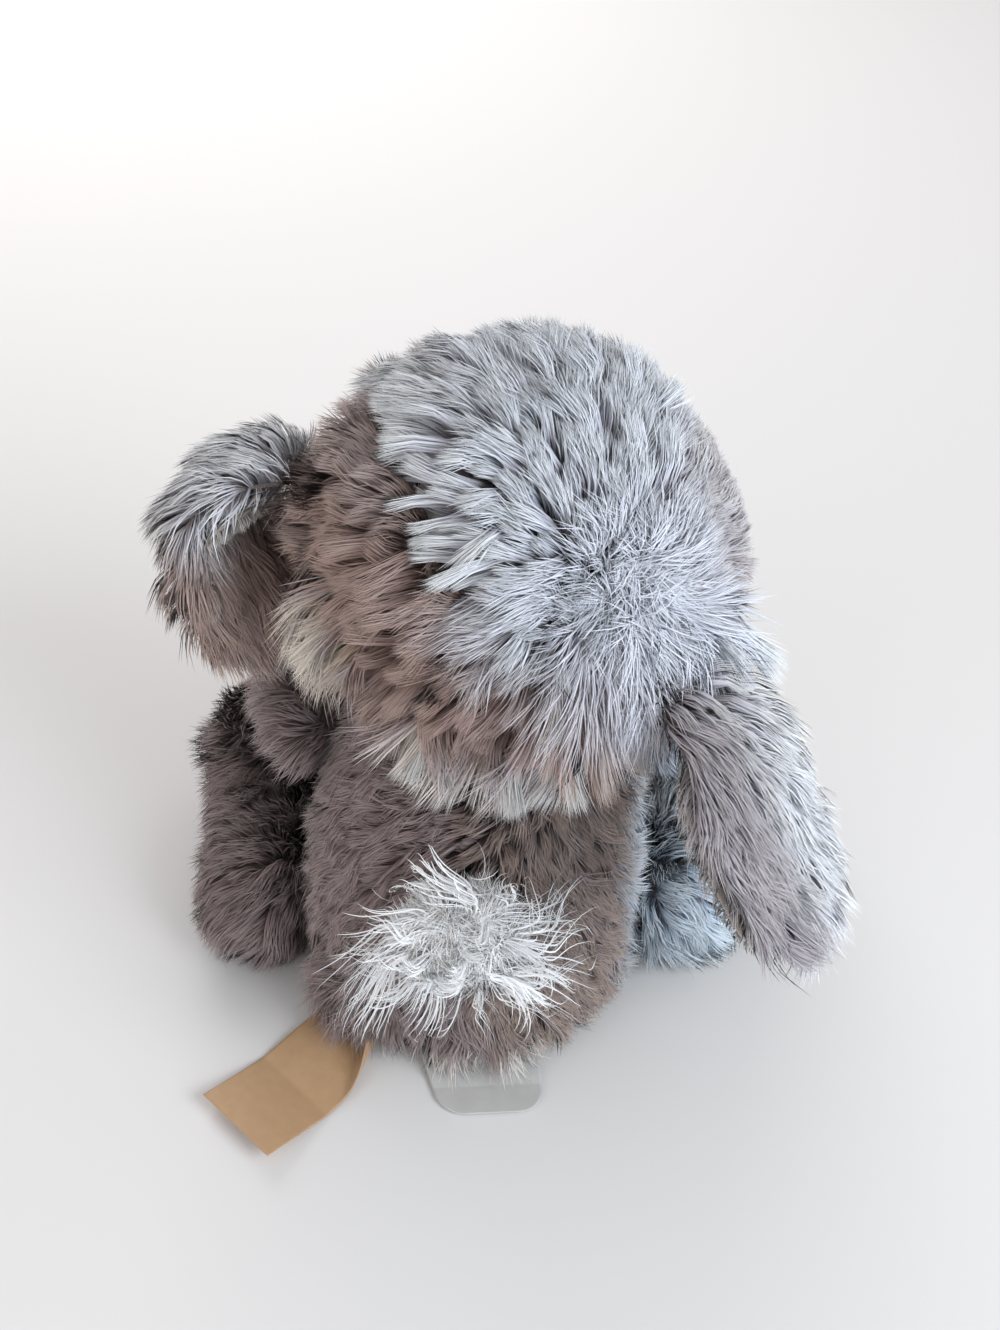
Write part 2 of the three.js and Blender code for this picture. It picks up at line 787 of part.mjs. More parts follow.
makeBody();
makeNeckSeam();
makeHead();
makeEar('left', 1);
makeEar('right', -1);
makeArm('left', 1);
makeArm('right', -1);
makeLeg('left', 1);
makeLeg('right', -1);
makeTail();
makeLabel('care_label', careLabelColour, {
  width: careLabelWidth,
  freeLength: careLabelLength,
  curl: careLabelCurl,
  direction: careLabelDirection,
});
makeLabel('white_label', whiteLabelColour, {
  width: whiteLabelWidth,
  freeLength: whiteLabelLength,
  curl: whiteLabelCurl,
  direction: whiteLabelDirection,
});

head.position.copy(headCentre);
head.rotation.set(0, headTilt * degree, headTurn * degree, 'ZYX');
toy.add(head);

export default toy;
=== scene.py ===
# %% [markdown]
# A seated plush bunny, seen from behind and above. The real toy is a few sewn bags of soft filling in a
# long warm-grey faux fur, with a tuft of curly yarn for a tail and two ribbons sewn into the seat seam.
# The imported model gives every place and size. Blender gives it cloth, fur, yarn and ribbon.

# %% The frame, and the CAD model
import json
import math

import bmesh
import bpy
import numpy as np
from mathutils import Euler, Matrix, Vector, noise


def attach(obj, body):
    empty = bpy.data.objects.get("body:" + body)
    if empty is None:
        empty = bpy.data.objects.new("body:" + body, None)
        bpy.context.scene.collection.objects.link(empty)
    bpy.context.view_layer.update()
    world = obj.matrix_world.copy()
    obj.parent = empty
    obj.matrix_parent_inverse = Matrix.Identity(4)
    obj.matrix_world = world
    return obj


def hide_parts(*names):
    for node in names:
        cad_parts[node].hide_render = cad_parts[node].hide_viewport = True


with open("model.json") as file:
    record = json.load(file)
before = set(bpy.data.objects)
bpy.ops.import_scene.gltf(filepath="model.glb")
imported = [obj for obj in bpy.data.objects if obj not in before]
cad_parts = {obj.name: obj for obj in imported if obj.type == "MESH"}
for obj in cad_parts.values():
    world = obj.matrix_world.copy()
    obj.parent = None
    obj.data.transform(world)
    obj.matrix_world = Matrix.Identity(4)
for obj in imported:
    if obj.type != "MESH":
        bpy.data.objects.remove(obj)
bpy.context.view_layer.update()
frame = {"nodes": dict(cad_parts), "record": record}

MM = 0.001

# %% [markdown]
# The camera comes first. It stands behind the bunny, 43 degrees above the table, and looks down at the
# nape, as the photographer did. A longer lens keeps the toy from looking stretched.

# %% The camera
camera_place = Vector((-8, 318.1, 409.9)) * MM
camera_aim = Vector((-8, -11, 103)) * MM
camera_data = bpy.data.cameras.new("camera")
camera_data.lens = 46.3
camera_data.sensor_width = 36
camera = bpy.data.objects.new("camera", camera_data)
camera.location = camera_place
camera.rotation_euler = (camera_aim - camera_place).to_track_quat("-Z", "Y").to_euler()
bpy.context.scene.collection.objects.link(camera)
bpy.context.scene.camera = camera
print("camera at", [round(v, 3) for v in camera.location])

# %% [markdown]
# Fur shows its depth only under soft light from one side: each lock then has a lit edge and a shaded one.
# A broad lamp, the window, stands high behind the bunny's right, and a weaker one stands for the room on
# its left. One in front lights the face, a small bluish one lies low behind the right, and a pale sky
# fills in.

# %% Light, sky and floor
scene = bpy.context.scene
scene.view_settings.view_transform = "Standard"


def area_lamp(name, place, aim, size, power, colour):
    lamp = bpy.data.lights.new(name, "AREA")
    lamp.shape = "DISK"
    lamp.size = size
    lamp.energy = power
    lamp.color = colour
    holder = bpy.data.objects.new(name, lamp)
    holder.location = Vector(place)
    holder.rotation_euler = (Vector(aim) - Vector(place)).to_track_quat("-Z", "Y").to_euler()
    scene.collection.objects.link(holder)


area_lamp("window", (-0.72, 0.55, 0.72), (0, 0, 0.1), 0.6, 7.0, (0.91, 0.96, 1.0))
area_lamp("room", (0.8, 0.75, 0.5), (0, 0, 0.08), 0.8, 2.6, (1.0, 0.96, 0.93))
area_lamp("front", (0.25, -0.85, 0.55), (0, 0, 0.1), 0.8, 4.5, (1.0, 0.97, 0.95))
area_lamp("side", (-0.5, 0.75, 0.18), (-0.05, 0, 0.07), 0.4, 1.5, (0.58, 0.78, 1.0))

world = bpy.data.worlds.new("sky")
scene.world = world
world.use_nodes = True
sky = world.node_tree.nodes["Background"]
sky.inputs["Color"].default_value = (0.95, 0.95, 0.96, 1)
sky.inputs["Strength"].default_value = 0.55


def plain_material(name, colour, roughness):
    material = bpy.data.materials.new(name)
    material.use_nodes = True
    shader = material.node_tree.nodes["Principled BSDF"]
    shader.inputs["Base Color"].default_value = (*colour, 1)
    shader.inputs["Roughness"].default_value = roughness
    return material


def floor_sheet(half):
    mesh = bpy.data.meshes.new("floor")
    corners = [(-half, -half, 0), (half, -half, 0), (half, half, 0), (-half, half, 0)]
    mesh.from_pydata(corners, [], [(0, 1, 2, 3)])
    mesh.materials.append(plain_material("pale floor", (0.80, 0.785, 0.78), 0.9))
    floor = bpy.data.objects.new("floor", mesh)
    scene.collection.objects.link(floor)


floor_sheet(3.0)
print("lamps and floor are set")

# %% [markdown]
# Everything soft starts as a closed form that follows a spine and swells and tapers along it. The helpers
# below build one from a few stations, each a place and two half widths, and put a mesh into the scene.


# %% Helpers: forms that swell and taper
def smooth_line(values, samples):
    """A Catmull-Rom line through the rows of `values`."""
    rows = np.array(values, float)
    padded = np.vstack([2 * rows[0] - rows[1], rows, 2 * rows[-1] - rows[-2]])
    line = []
    for step in np.linspace(0, len(rows) - 1, samples):
        i = min(int(step), len(rows) - 2)
        t = step - i
        a, b, c, d = padded[i : i + 4]
        bend = (2 * a - 5 * b + 4 * c - d) * t**2
        line.append(0.5 * (2 * b + (c - a) * t + bend + (3 * b - a - 3 * c + d) * t**3))
    return np.array(line)


def soft_form(stations, facing, start_round, end_round, start_power=2.0, sides=40, rings=36):
    """Vertices and faces of a closed form. A station is x, y, z, half width, half depth, in millimetres."""
    line = smooth_line(stations, 400)
    steps = np.linalg.norm(np.diff(line[:, :3], axis=0), axis=1)
    reached = np.concatenate([[0], np.cumsum(steps)])
    length = reached[-1]
    way = Vector(facing).normalized()
    ease = (1 - np.cos(np.linspace(0, math.pi, rings + 2)[1:-1])) / 2
    nudge = 0.5

    def station(distance):
        return np.array([np.interp(distance, reached, column) for column in line.T])

    vertices = [line[0, :3]]
    for distance in ease * length:
        place = station(distance)
        ahead = station(min(distance + nudge, length))
        behind = station(max(distance - nudge, 0))
        tangent = Vector((ahead - behind)[:3]).normalized()
        from_start = min(1, distance / start_round)
        from_end = min(1, (length - distance) / end_round)
        closing = (1 - (1 - from_start) ** start_power) ** (1 / start_power)
        closing *= math.sqrt(1 - (1 - from_end) ** 2)
        across = way.cross(tangent).normalized()
        outward = tangent.cross(across)
        for j in range(sides):
            angle = 2 * math.pi * j / sides
            wide = across * (place[3] * closing * math.cos(angle))
            deep = outward * (place[4] * closing * math.sin(angle))
            vertices.append(place[:3] + np.array(wide + deep))
    vertices.append(line[-1, :3])
    faces = []
    last = len(vertices) - 1
    for j in range(sides):
        k = (j + 1) % sides
        faces.append((0, 1 + k, 1 + j))
        for i in range(rings - 1):
            a = 1 + i * sides
            faces.append((a + j, a + k, a + sides + k, a + sides + j))
        faces.append((last, last - sides + j, last - sides + k))
    return [Vector(v) * MM for v in vertices], faces


def ball_form(centre, radii, turn=(0, 0, 0), subdivisions=5):
    """An ellipsoid in millimetres, turned by degrees about X, Y and Z."""
    shape = bmesh.new()
    bmesh.ops.create_icosphere(shape, subdivisions=subdivisions, radius=1)
    turned = Euler([math.radians(a) for a in turn]).to_matrix().to_4x4()
    place = Matrix.Translation(Vector(centre) * MM) @ turned @ Matrix.Diagonal((*[r * MM for r in radii], 1))
    vertices = [place @ v.co for v in shape.verts]
    faces = [tuple(v.index for v in f.verts) for f in shape.faces]
    shape.free()
    return vertices, faces


print("forms: a swelling tube and a ball")

# %% [markdown]
# A form becomes a piece when its mesh is put into the scene. Forms that overlap can be melted into one
# skin, and the places of a piece's vertices can be read, worked on and put back as one array.


# %% Helpers: pieces
def new_piece(name, vertices, faces):
    mesh = bpy.data.meshes.new(name)
    mesh.from_pydata([tuple(v) for v in vertices], [], faces)
    mesh.shade_smooth()
    piece = bpy.data.objects.new(name, mesh)
    scene.collection.objects.link(piece)
    return piece


def joined(name, forms, voxel):
    """Several overlapping forms made one skin, with the crease between them eased."""
    vertices, faces = [], []
    for form_vertices, form_faces in forms:
        start = len(vertices)
        vertices += form_vertices
        faces += [tuple(i + start for i in face) for face in form_faces]
    piece = new_piece(name, vertices, faces)
    remesh = piece.modifiers.new("remesh", "REMESH")
    remesh.mode = "VOXEL"
    remesh.voxel_size = voxel * MM
    ease = piece.modifiers.new("ease", "SMOOTH")
    ease.factor = 0.5
    ease.iterations = 6
    bake_modifiers(piece)
    piece.data.shade_smooth()
    return piece


def bake_modifiers(piece):
    finished = bpy.data.meshes.new_from_object(piece.evaluated_get(bpy.context.evaluated_depsgraph_get()))
    piece.modifiers.clear()
    before = piece.data
    finished.name = piece.name
    piece.data = finished
    bpy.data.meshes.remove(before)


def mesh_arrays(piece):
    """The places and normals of a piece's vertices, as rows of an array, in millimetres."""
    count = len(piece.data.vertices)
    places = np.empty(count * 3)
    normals = np.empty(count * 3)
    piece.data.vertices.foreach_get("co", places)
    piece.data.vertices.foreach_get("normal", normals)
    return places.reshape(-1, 3) / MM, normals.reshape(-1, 3)


def set_places(piece, places):
    piece.data.vertices.foreach_set("co", (places * MM).ravel())
    piece.data.update()


def ramp(value, low, high):
    t = np.clip((value - low) / (high - low), 0, 1)
    return t * t * (3 - 2 * t)


print("pieces can be made, melted together and moved")

# %% [markdown]
# Cloth, fur and ribbon are all patterns made by nodes: shader nodes for their colours and Geometry Nodes
# for the strands. The helpers below keep such a formula as short as it is on paper. A `Field` is a number
# or a vector in a node tree, and arithmetic with it adds the nodes.


# %% Helpers: formulas in node trees
def shader_of(material):
    return material.node_tree.nodes["Principled BSDF"]


class Field:
    """A value in a node tree, such as a number, a vector, a colour or a geometry."""

    def __init__(self, sheet, socket):
        self.sheet = sheet
        self.socket = socket

    def is_vector(self):
        return self.socket.type in ("VECTOR", "RGBA")

    def with_other(self, operation, other):
        act = self.sheet.vector if self.is_vector() else self.sheet.maths
        return act(operation, self, other)

    def __add__(self, other):
        return self.with_other("ADD", other)

    def __sub__(self, other):
        return self.with_other("SUBTRACT", other)

    def __rsub__(self, other):
        return self.sheet.maths("SUBTRACT", other, self)

    def __mul__(self, factor):
        if self.is_vector():
            inputs = {0: self, "Scale": factor}
            return self.sheet.node("ShaderNodeVectorMath", inputs, operation="SCALE")("Vector")
        return self.sheet.maths("MULTIPLY", self, factor)

    def __truediv__(self, other):
        return self.sheet.maths("DIVIDE", self, other)

    def __pow__(self, power):
        return self.sheet.maths("POWER", self, power)

    def dot(self, other):
        return self.sheet.vector("DOT_PRODUCT", self, other, output="Value")

    def cross(self, other):
        return self.sheet.vector("CROSS_PRODUCT", self, other)

    def length(self):
        return self.sheet.vector("LENGTH", self, output="Value")

    def normalized(self):
        return self.sheet.vector("NORMALIZE", self)

    def cos(self):
        return self.sheet.maths("COSINE", self)

    def sin(self):
        return self.sheet.maths("SINE", self)

    def at_most(self, limit):
        return self.sheet.maths("MINIMUM", self, limit)

    def at_least(self, limit):
        return self.sheet.maths("MAXIMUM", self, limit)


print("fields can be reckoned with")

# %% [markdown]
# A `NodeSheet` adds the nodes. A `GroupSheet` does so in a new group, with the inputs and outputs that it
# names.


# %% Helpers: node sheets
class NodeSheet:
    """Adds nodes to a tree and wires them. A new node comes back as a function that gives its outputs."""

    def __init__(self, tree):
        self.tree = tree

    def node(self, kind, inputs=(), **settings):
        made = self.tree.nodes.new(kind)
        for key, value in settings.items():
            setattr(made, key, value)
        for key, value in dict(inputs).items():
            self.feed(made.inputs[key], value)
        return lambda output=0: Field(self, made.outputs[output])

    def feed(self, socket, value):
        if isinstance(value, Field):
            self.tree.links.new(value.socket, socket)
        else:
            socket.default_value = value

    def maths(self, operation, *values):
        return self.node("ShaderNodeMath", enumerate(values), operation=operation)()

    def vector(self, operation, *values, output="Vector"):
        return self.node("ShaderNodeVectorMath", enumerate(values), operation=operation)(output)

    def blend(self, factor, a, b, mode="MIX"):
        inputs = {"Factor": factor, "A": a, "B": b}
        return self.node("ShaderNodeMix", inputs, data_type="RGBA", blend_type=mode)("Result")


class GroupSheet(NodeSheet):
    """The same for a new group. An input or output is a name, a kind and, for some inputs, a default."""

    def __init__(self, name, kind, inputs, outputs):
        super().__init__(bpy.data.node_groups.new(name, kind))
        for side, sockets in (("INPUT", inputs), ("OUTPUT", outputs)):
            for socket_name, socket_kind, *value in sockets:
                socket_type = f"NodeSocket{socket_kind}"
                socket = self.tree.interface.new_socket(socket_name, in_out=side, socket_type=socket_type)
                if value:
                    socket.default_value = value[0]
        self.asked = self.node("NodeGroupInput")

    def give(self, **results):
        """Wires the group's outputs. It comes last."""
        self.node("NodeGroupOutput", results)
        return self.tree


def paint_tones(sheet, shader, factor, dark, light):
    """A base colour that changes between two tones."""
    sheet.feed(shader.inputs["Base Color"], sheet.blend(factor, (*dark, 1), (*light, 1)))


def raise_relief(sheet, shader, height, strength, distance):
    bump = sheet.node("ShaderNodeBump", {"Height": height, "Strength": strength, "Distance": distance})
    sheet.feed(shader.inputs["Normal"], bump("Normal"))


print("node helpers are ready")

# %% [markdown]
# Under the fur is a knitted backing cloth, which shows only where the pile parts. It is a darker grey,
# and each bag of it is slightly lumpy, because packed filling never lies quite even. A skin is drawn in
# from its solid by the depth of the pile, so that the fur that grows on it ends near the solid's surface.


# %% The backing cloth's material
def weave_group():
    """Cloth: threads over and under each other as a height, and a slow change of tone as a factor."""
    outputs = [("Height", "Float"), ("Tone", "Float")]
    sheet = GroupSheet("weave", "ShaderNodeTree", [("Threads per metre", "Float")], outputs)
    where = sheet.node("ShaderNodeTexCoord")("Object")
    threads = {"Vector": where * sheet.asked("Threads per metre"), "Scale": 0.5, "Distortion": 0.6}
    warp, weft = [
        sheet.node("ShaderNodeTexWave", threads, wave_type="BANDS", bands_direction=direction)("Fac")
        for direction in ("X", "Z")
    ]
    tone = sheet.node("ShaderNodeTexNoise", {"Vector": where, "Scale": 60, "Detail": 4})
    return sheet.give(Height=warp * weft, Tone=tone("Fac"))


weave = weave_group()


def cloth_material(name, dark, light, threads, roughness=0.9, sheen=0.3, bump=0.3):
    """A woven or knitted cloth between two tones."""
    material = plain_material(name, light, roughness)
    shader = shader_of(material)
    shader.inputs["Sheen Weight"].default_value = sheen
    sheet = NodeSheet(material.node_tree)
    pattern = sheet.node("ShaderNodeGroup", {"Threads per metre": threads}, node_tree=weave)
    paint_tones(sheet, shader, pattern("Tone"), dark, light)
    raise_relief(sheet, shader, pattern("Height"), bump, 0.0002)
    return material


backing = cloth_material("backing cloth", (0.10, 0.085, 0.08), (0.20, 0.175, 0.165), 900)
wadding = cloth_material("wadding", (0.82, 0.81, 0.78), (0.93, 0.92, 0.90), 300, bump=0.8)
print("cloth materials", backing.name, wadding.name)

# %% [markdown]
# The fur is one strand repeated over a skin, tens of thousands of times, so Geometry Nodes make it. Each
# strand is a tapered ribbon of a few faces. It leaves the skin upright, leans over the way the fur is
# combed, and its tip is drawn towards the middle of its lock, which is what makes plush look clumped and
# not like a brush. The skin carries what changes over the toy: the comb direction, the length and the
# amount of fur.


# %% One strand
def strand_template(name, segments):
    """A ribbon of unit strand: `along` runs from the root to the tip and `across` over the width."""
    steps = [i / segments for i in range(segments)]
    vertices = [(side * 0.1, 0, t) for t in steps for side in (-1, 1)] + [(0, 0, 1)]
    faces = [(2 * i, 2 * i + 1, 2 * i + 3, 2 * i + 2) for i in range(segments - 1)]
    faces.append((2 * segments - 2, 2 * segments - 1, 2 * segments))
    strand = new_piece(name, vertices, faces)
    for layer, values in (("along", [v[2] for v in vertices]), ("across", [v[0] * 10 for v in vertices])):
        strand.data.attributes.new(layer, "FLOAT", "POINT").data.foreach_set("value", values)
    return strand


short_strand = strand_template("short strand", 3)
long_strand = strand_template("long strand", 14)
print("strands with", len(short_strand.data.polygons), "and", len(long_strand.data.polygons), "faces")

# %% [markdown]
# The tree scatters two sets of points on a skin: a few for the middles of the locks and many for the
# roots of the strands. Each root looks up its nearest lock, takes over that lock's comb and size, and
# gets one ribbon. The ribbons are then made real and every vertex is placed by one formula, which is
# cheaper than a curve for each hair.

# %% What a fur can ask for
FUR_INPUTS = [
    ("Skin", "Geometry"),
    ("Strand", "Object"),
    ("Fur", "Material"),
    ("Region", "Int", 0),
    ("Seed", "Int", 1),
    ("Strands per m2", "Float", 2.0e6),
    ("Locks per m2", "Float", 2.0e5),
    ("Length", "Float", 0.014),
    ("Length Spread", "Float", 0.3),
    ("Width", "Float", 0.0004),
    ("Lean", "Float", 0.6),
    ("Least Lean", "Float", 0.4),
    ("Droop", "Float", 0.1),
    ("Lock Pull", "Float", 0.7),
    ("Gather", "Float", 1.0),
    ("Fray", "Float", 0.0),
    ("Lock Stray", "Float", 0.2),
    ("Roundness", "Float", 0.9),
    ("Bend", "Float", 0.5),
    ("Tangle", "Float", 0.6),
    ("Tangle Scale", "Float", 60.0),
    ("Stray", "Float", 0.2),
    ("Curl", "Float", 0.0),
    ("Curl Turns", "Float", 1.0),
]
print("a fur can ask for", ", ".join(name for name, *_ in FUR_INPUTS[5:]))

# %% [markdown]
# The formula of a strand has four parts. It rises from its root and leans over its way, its upper part is
# drawn to the middle of its lock, it can curl around its own line, and the ribbon's width tapers to the
# tip.

# %% The fur tree
VECTOR = "FLOAT_VECTOR"


def build_fur_tree():
    sheet = GroupSheet("fur", "GeometryNodeTree", FUR_INPUTS, [("Fur", "Geometry")])
    asked = sheet.asked

    def named(name, kind="FLOAT"):
        return sheet.node("GeometryNodeInputNamedAttribute", {"Name": name}, data_type=kind)("Attribute")

    def stored(geometry, name, value):
        kind = VECTOR if value.is_vector() else "FLOAT"
        inputs = {"Geometry": geometry, "Name": name, "Value": value}
        store = sheet.node("GeometryNodeStoreNamedAttribute", inputs, data_type=kind, domain="POINT")
        return store("Geometry")

    def chance(low, high, seed):
        kind = VECTOR if isinstance(low, tuple) else "FLOAT"
        inputs = {"Min": low, "Max": high, "Seed": seed}
        return sheet.node("FunctionNodeRandomValue", inputs, data_type=kind)("Value")

    def scattered(density, seed, **more):
        inputs = {"Mesh": asked("Skin"), "Density": density, "Seed": seed, **more}
        return sheet.node("GeometryNodeDistributePointsOnFaces", inputs, distribute_method="RANDOM")

    # the way the fur is combed, with a slow wander
    place = sheet.node("GeometryNodeInputPosition")()
    wander = {"Vector": place, "Scale": asked("Tangle Scale"), "Detail": 2.0}
    centred = sheet.node("ShaderNodeTexNoise", wander, noise_dimensions="3D")("Color") - (0.5, 0.5, 0.5)
    combed = named("comb", VECTOR) + centred * (asked("Tangle") * 4.0)

    # the middles of the locks
    locks = scattered(asked("Locks per m2"), asked("Seed") + 17)("Points")
    locks = stored(locks, "lock_way", combed + chance((-1, -1, -1), (1, 1, 1), 29) * asked("Lock Stray"))
    locks = stored(locks, "lock_size", chance(0.0, 1.0, 5))

    # the strands' roots, and the lock that each belongs to
    region = {"A": named("region", "INT"), "B": asked("Region")}
    chosen = sheet.node("FunctionNodeCompare", region, data_type="INT", operation="EQUAL")()
    roots = scattered(asked("Strands per m2") * named("fur_amount"), asked("Seed"), Selection=chosen)
    nearest = {"Geometry": locks, "Sample Position": place}
    lock = sheet.node("GeometryNodeSampleNearest", nearest, domain="POINT")("Index")

    def of_lock(value):
        kind = VECTOR if value.is_vector() else "FLOAT"
        inputs = {"Geometry": locks, "Value": value, "Index": lock}
        return sheet.node("GeometryNodeSampleIndex", inputs, data_type=kind, domain="POINT")("Value")

    lock_root = of_lock(place)
    lock_size = of_lock(named("lock_size"))
    up = roots("Normal")
    way = of_lock(named("lock_way", VECTOR)) + chance((-1, -1, -1), (1, 1, 1), 3) * asked("Stray")
    flat = way - up * way.dot(up)
    off_lock = (place - lock_root) * sheet.maths("SQRT", asked("Locks per m2"))
    size = (1.0 - asked("Length Spread") * chance(0.0, 1.0, 11)) * (lock_size * 0.5 + 0.7)
    points = roots("Points")
    for name, value in (
        ("root", place),
        ("lock_root", lock_root),
        ("upright", up),
        ("fur_up", (up + off_lock * asked("Roundness")).normalized()),
        ("lock_edge", off_lock.length().at_most(1.0)),
        ("lean_share", flat.length().at_most(1.0).at_least(asked("Least Lean"))),
        ("way", flat.normalized()),
        ("size", size * named("fur_length") * asked("Length")),
        ("lock_tone", lock_size),
        ("tone", chance(0.0, 1.0, 23)),
    ):
        points = stored(points, name, value)

    # one ribbon on each root
    ribbon = sheet.node("GeometryNodeObjectInfo", {"Object": asked("Strand")})("Geometry")
    copies = sheet.node("GeometryNodeInstanceOnPoints", {"Points": points, "Instance": ribbon})("Instances")
    real = sheet.node("GeometryNodeRealizeInstances", {"Geometry": copies})("Geometry")

    # where each of its vertices goes
    t, side, size = [named(name) for name in ("along", "across", "size")]
    tone, lock_tone = [named(name) for name in ("tone", "lock_tone")]
    root, lock_root, up, way = [named(name, VECTOR) for name in ("root", "lock_root", "upright", "way")]
    lean = asked("Lean") * (lock_tone * 0.4 + 0.8) * named("lean_share")
    pull = (t / asked("Gather")).at_most(1.0) - asked("Fray") * t**3
    rise = size * t * (1.0 - lean * t * 0.55)
    over = size * lean * t * (t * 0.55 + 0.45)
    fall = size * asked("Droop") * t**2
    beside = up.cross(way)
    angle = (t * asked("Curl Turns") + lock_tone * 7.0) * (2 * math.pi)
    swerve = (lock_tone * 2.0 - 1.0) * asked("Bend") * t
    twist = tone * 2.4 - 1.2
    half_width = asked("Width") * 0.5 * (1.0 - t**3)
    there = (
        root
        + (lock_root - root) * (asked("Lock Pull") * pull * named("fur_clump"))
        + up * rise
        + (way * swerve.cos() + beside * swerve.sin()) * over
        + (beside * angle.cos() + up * angle.sin()) * (asked("Curl") * t)
        + (beside * twist.cos() + up * twist.sin()) * (half_width * side)
    )

    # hanging fur stops just above the table
    apart = sheet.node("ShaderNodeSeparateXYZ", {0: there})
    lifted = {"X": apart("X"), "Y": apart("Y"), "Z": (apart("Z") - fall).at_least(tone * 0.001)}
    lifted = sheet.node("ShaderNodeCombineXYZ", lifted)()
    bent = sheet.node("GeometryNodeSetPosition", {"Geometry": real, "Position": lifted})("Geometry")
    finish = {"Geometry": bent, "Material": asked("Fur")}
    return sheet.give(Fur=sheet.node("GeometryNodeSetMaterial", finish)("Geometry"))


fur_tree = build_fur_tree()
print("fur tree has", len(fur_tree.nodes), "nodes")

# %% [markdown]
# Fur isn't one colour. The roots stand in each other's shade, and that shade is painted into them as a
# darker, browner grey; the tips are pale, and no two locks match. The edges of each lock are painted in
# shade as well, a strand that stands upright is painted lighter from its root up as light in the pits of the
# pile, and where the skin asks for it a painted shade tints the fur brown. The strand's own place along its
# length, its tone and its lock's tone are attributes on the mesh, and one shader group turns them into a
# colour. A ribbon's own normal glints like paper, so most of it is replaced by the normal of the skin below,
# as light falls on the pile as a whole.


# %% The fur's materials
def fur_group():
    inputs = [(name, "Color") for name in ("Root", "Middle", "Tip", "Cast")]
    inputs += [(name, "Float") for name in ("Spread", "Lock Shade", "Pile Normal")]
    sheet = GroupSheet("fur tone", "ShaderNodeTree", inputs, [("Color", "Color"), ("Normal", "Vector")])
    asked = sheet.asked

    def carried(name, output="Fac"):
        return sheet.node("ShaderNodeAttribute", attribute_name=name)(output)

    def smooth(value, low, high):
        limits = {"Value": value, "From Min": low, "From Max": high}
        return sheet.node("ShaderNodeMapRange", limits, interpolation_type="SMOOTHSTEP")()

    # painted light: a strand that stands upright is coloured lighter from its root up, which lifts the shade
    # where the pile parts
    along = (1.0 - carried("lean_share")) * 0.5 + carried("along")
    colour = sheet.blend(smooth(along, 0.1, 0.55), asked("Root"), asked("Middle"))
    colour = sheet.blend(smooth(along, 0.45, 1.0), colour, asked("Tip"))
    both = (carried("tone") - 0.5) * 0.8 + (carried("lock_tone") - 0.5)
    # painted shade darkens the strands at the edge of each lock
    gain = both * asked("Spread") + 1.0 - carried("lock_edge") * asked("Lock Shade")
    brightness = sheet.node("ShaderNodeCombineXYZ", {"X": gain, "Y": gain, "Z": gain})()
    colour = sheet.blend(1.0, colour, brightness, "MULTIPLY")
    # painted shade: where the skin asks for it, the colour is tinted towards a darker brown
    colour = sheet.blend(carried("fur_cast"), colour, sheet.blend(1.0, colour, asked("Cast"), "MULTIPLY"))

    turn = {"vector_type": "NORMAL", "convert_from": "OBJECT", "convert_to": "WORLD"}
    pile = sheet.node("ShaderNodeVectorTransform", {0: carried("fur_up", "Vector")}, **turn)()
    own = sheet.node("ShaderNodeNewGeometry")("Normal")
    normal = pile * asked("Pile Normal") + own * (1.0 - asked("Pile Normal"))
    return sheet.give(Color=colour, Normal=normal.normalized())


fur_tone = fur_group()


def fur_material(
    name, root, middle, tip, cast=(1, 1, 1), spread=0.22, shade=0.12, roughness=0.75, sheen=0.4, pile=0.82
):
    """Fur from its roots to its tips. The fourth colour is a painted shade, which tints it where the skin
    asks for that.
    """
    material = plain_material(name, middle, roughness)
    shader = shader_of(material)
    shader.inputs["Sheen Weight"].default_value = sheen
    shader.inputs["Specular IOR Level"].default_value = 0.3
    tones = {"Spread": spread, "Lock Shade": shade, "Pile Normal": pile}
    for key, colour in zip(("Root", "Middle", "Tip", "Cast"), (root, middle, tip, cast)):
        tones[key] = (*colour, 1)
    sheet = NodeSheet(material.node_tree)
    fur = sheet.node("ShaderNodeGroup", tones, node_tree=fur_tone)
    sheet.feed(shader.inputs["Base Color"], fur("Color"))
    sheet.feed(shader.inputs["Normal"], fur("Normal"))
    return material


# painted shade: the brown that tints the fur wherever shade is painted on a skin
SHADE_BROWN = (0.56, 0.39, 0.32)
head_fur = fur_material("head fur", (0.26, 0.22, 0.21), (0.60, 0.56, 0.60), (0.95, 0.95, 1.0), SHADE_BROWN)
# The body's fur is painted darker and browner than the head's, as the shade below the head.
body_fur = fur_material("body fur", (0.19, 0.135, 0.125), (0.29, 0.21, 0.205), (0.41, 0.32, 0.315))
# The right leg's pale bluish fur is the window's light painted in.
window_lit_leg_fur = fur_material("pale leg fur", (0.50, 0.60, 0.78), (0.72, 0.85, 1.0), (0.84, 0.94, 1.0), SHADE_BROWN)
short_fur = fur_material("short pale fur", (0.68, 0.62, 0.56), (0.82, 0.76, 0.70), (0.93, 0.88, 0.83))
print("fur materials are ready")

# %% [markdown]
# Much on the toy is said by where it is: near a point, along a line, or within a distance of either.


# %% Distances
def seen(right, down):
    """A direction as it looks from behind and above, where the camera stands."""
    return (-right, 0.68 * down, -0.73 * down)


def off_point(places, point):
    """How far places are from a point."""
    return np.linalg.norm(places - np.array(point), axis=1)


def off_line(places, points):
    """How far places are from a line of points."""
    nearest = np.full(len(places), np.inf)
    for a, b in zip(points, points[1:]):
        share = np.clip((places - a) @ (b - a) / ((b - a) @ (b - a)), 0, 1)
        nearest = np.minimum(nearest, np.linalg.norm(places - a - share[:, None] * (b - a), axis=1))
    return nearest


def within(distance, inner, outer):
    """One up to the inner distance, and nothing from the outer one on."""
    return 1 - ramp(distance, inner, outer)


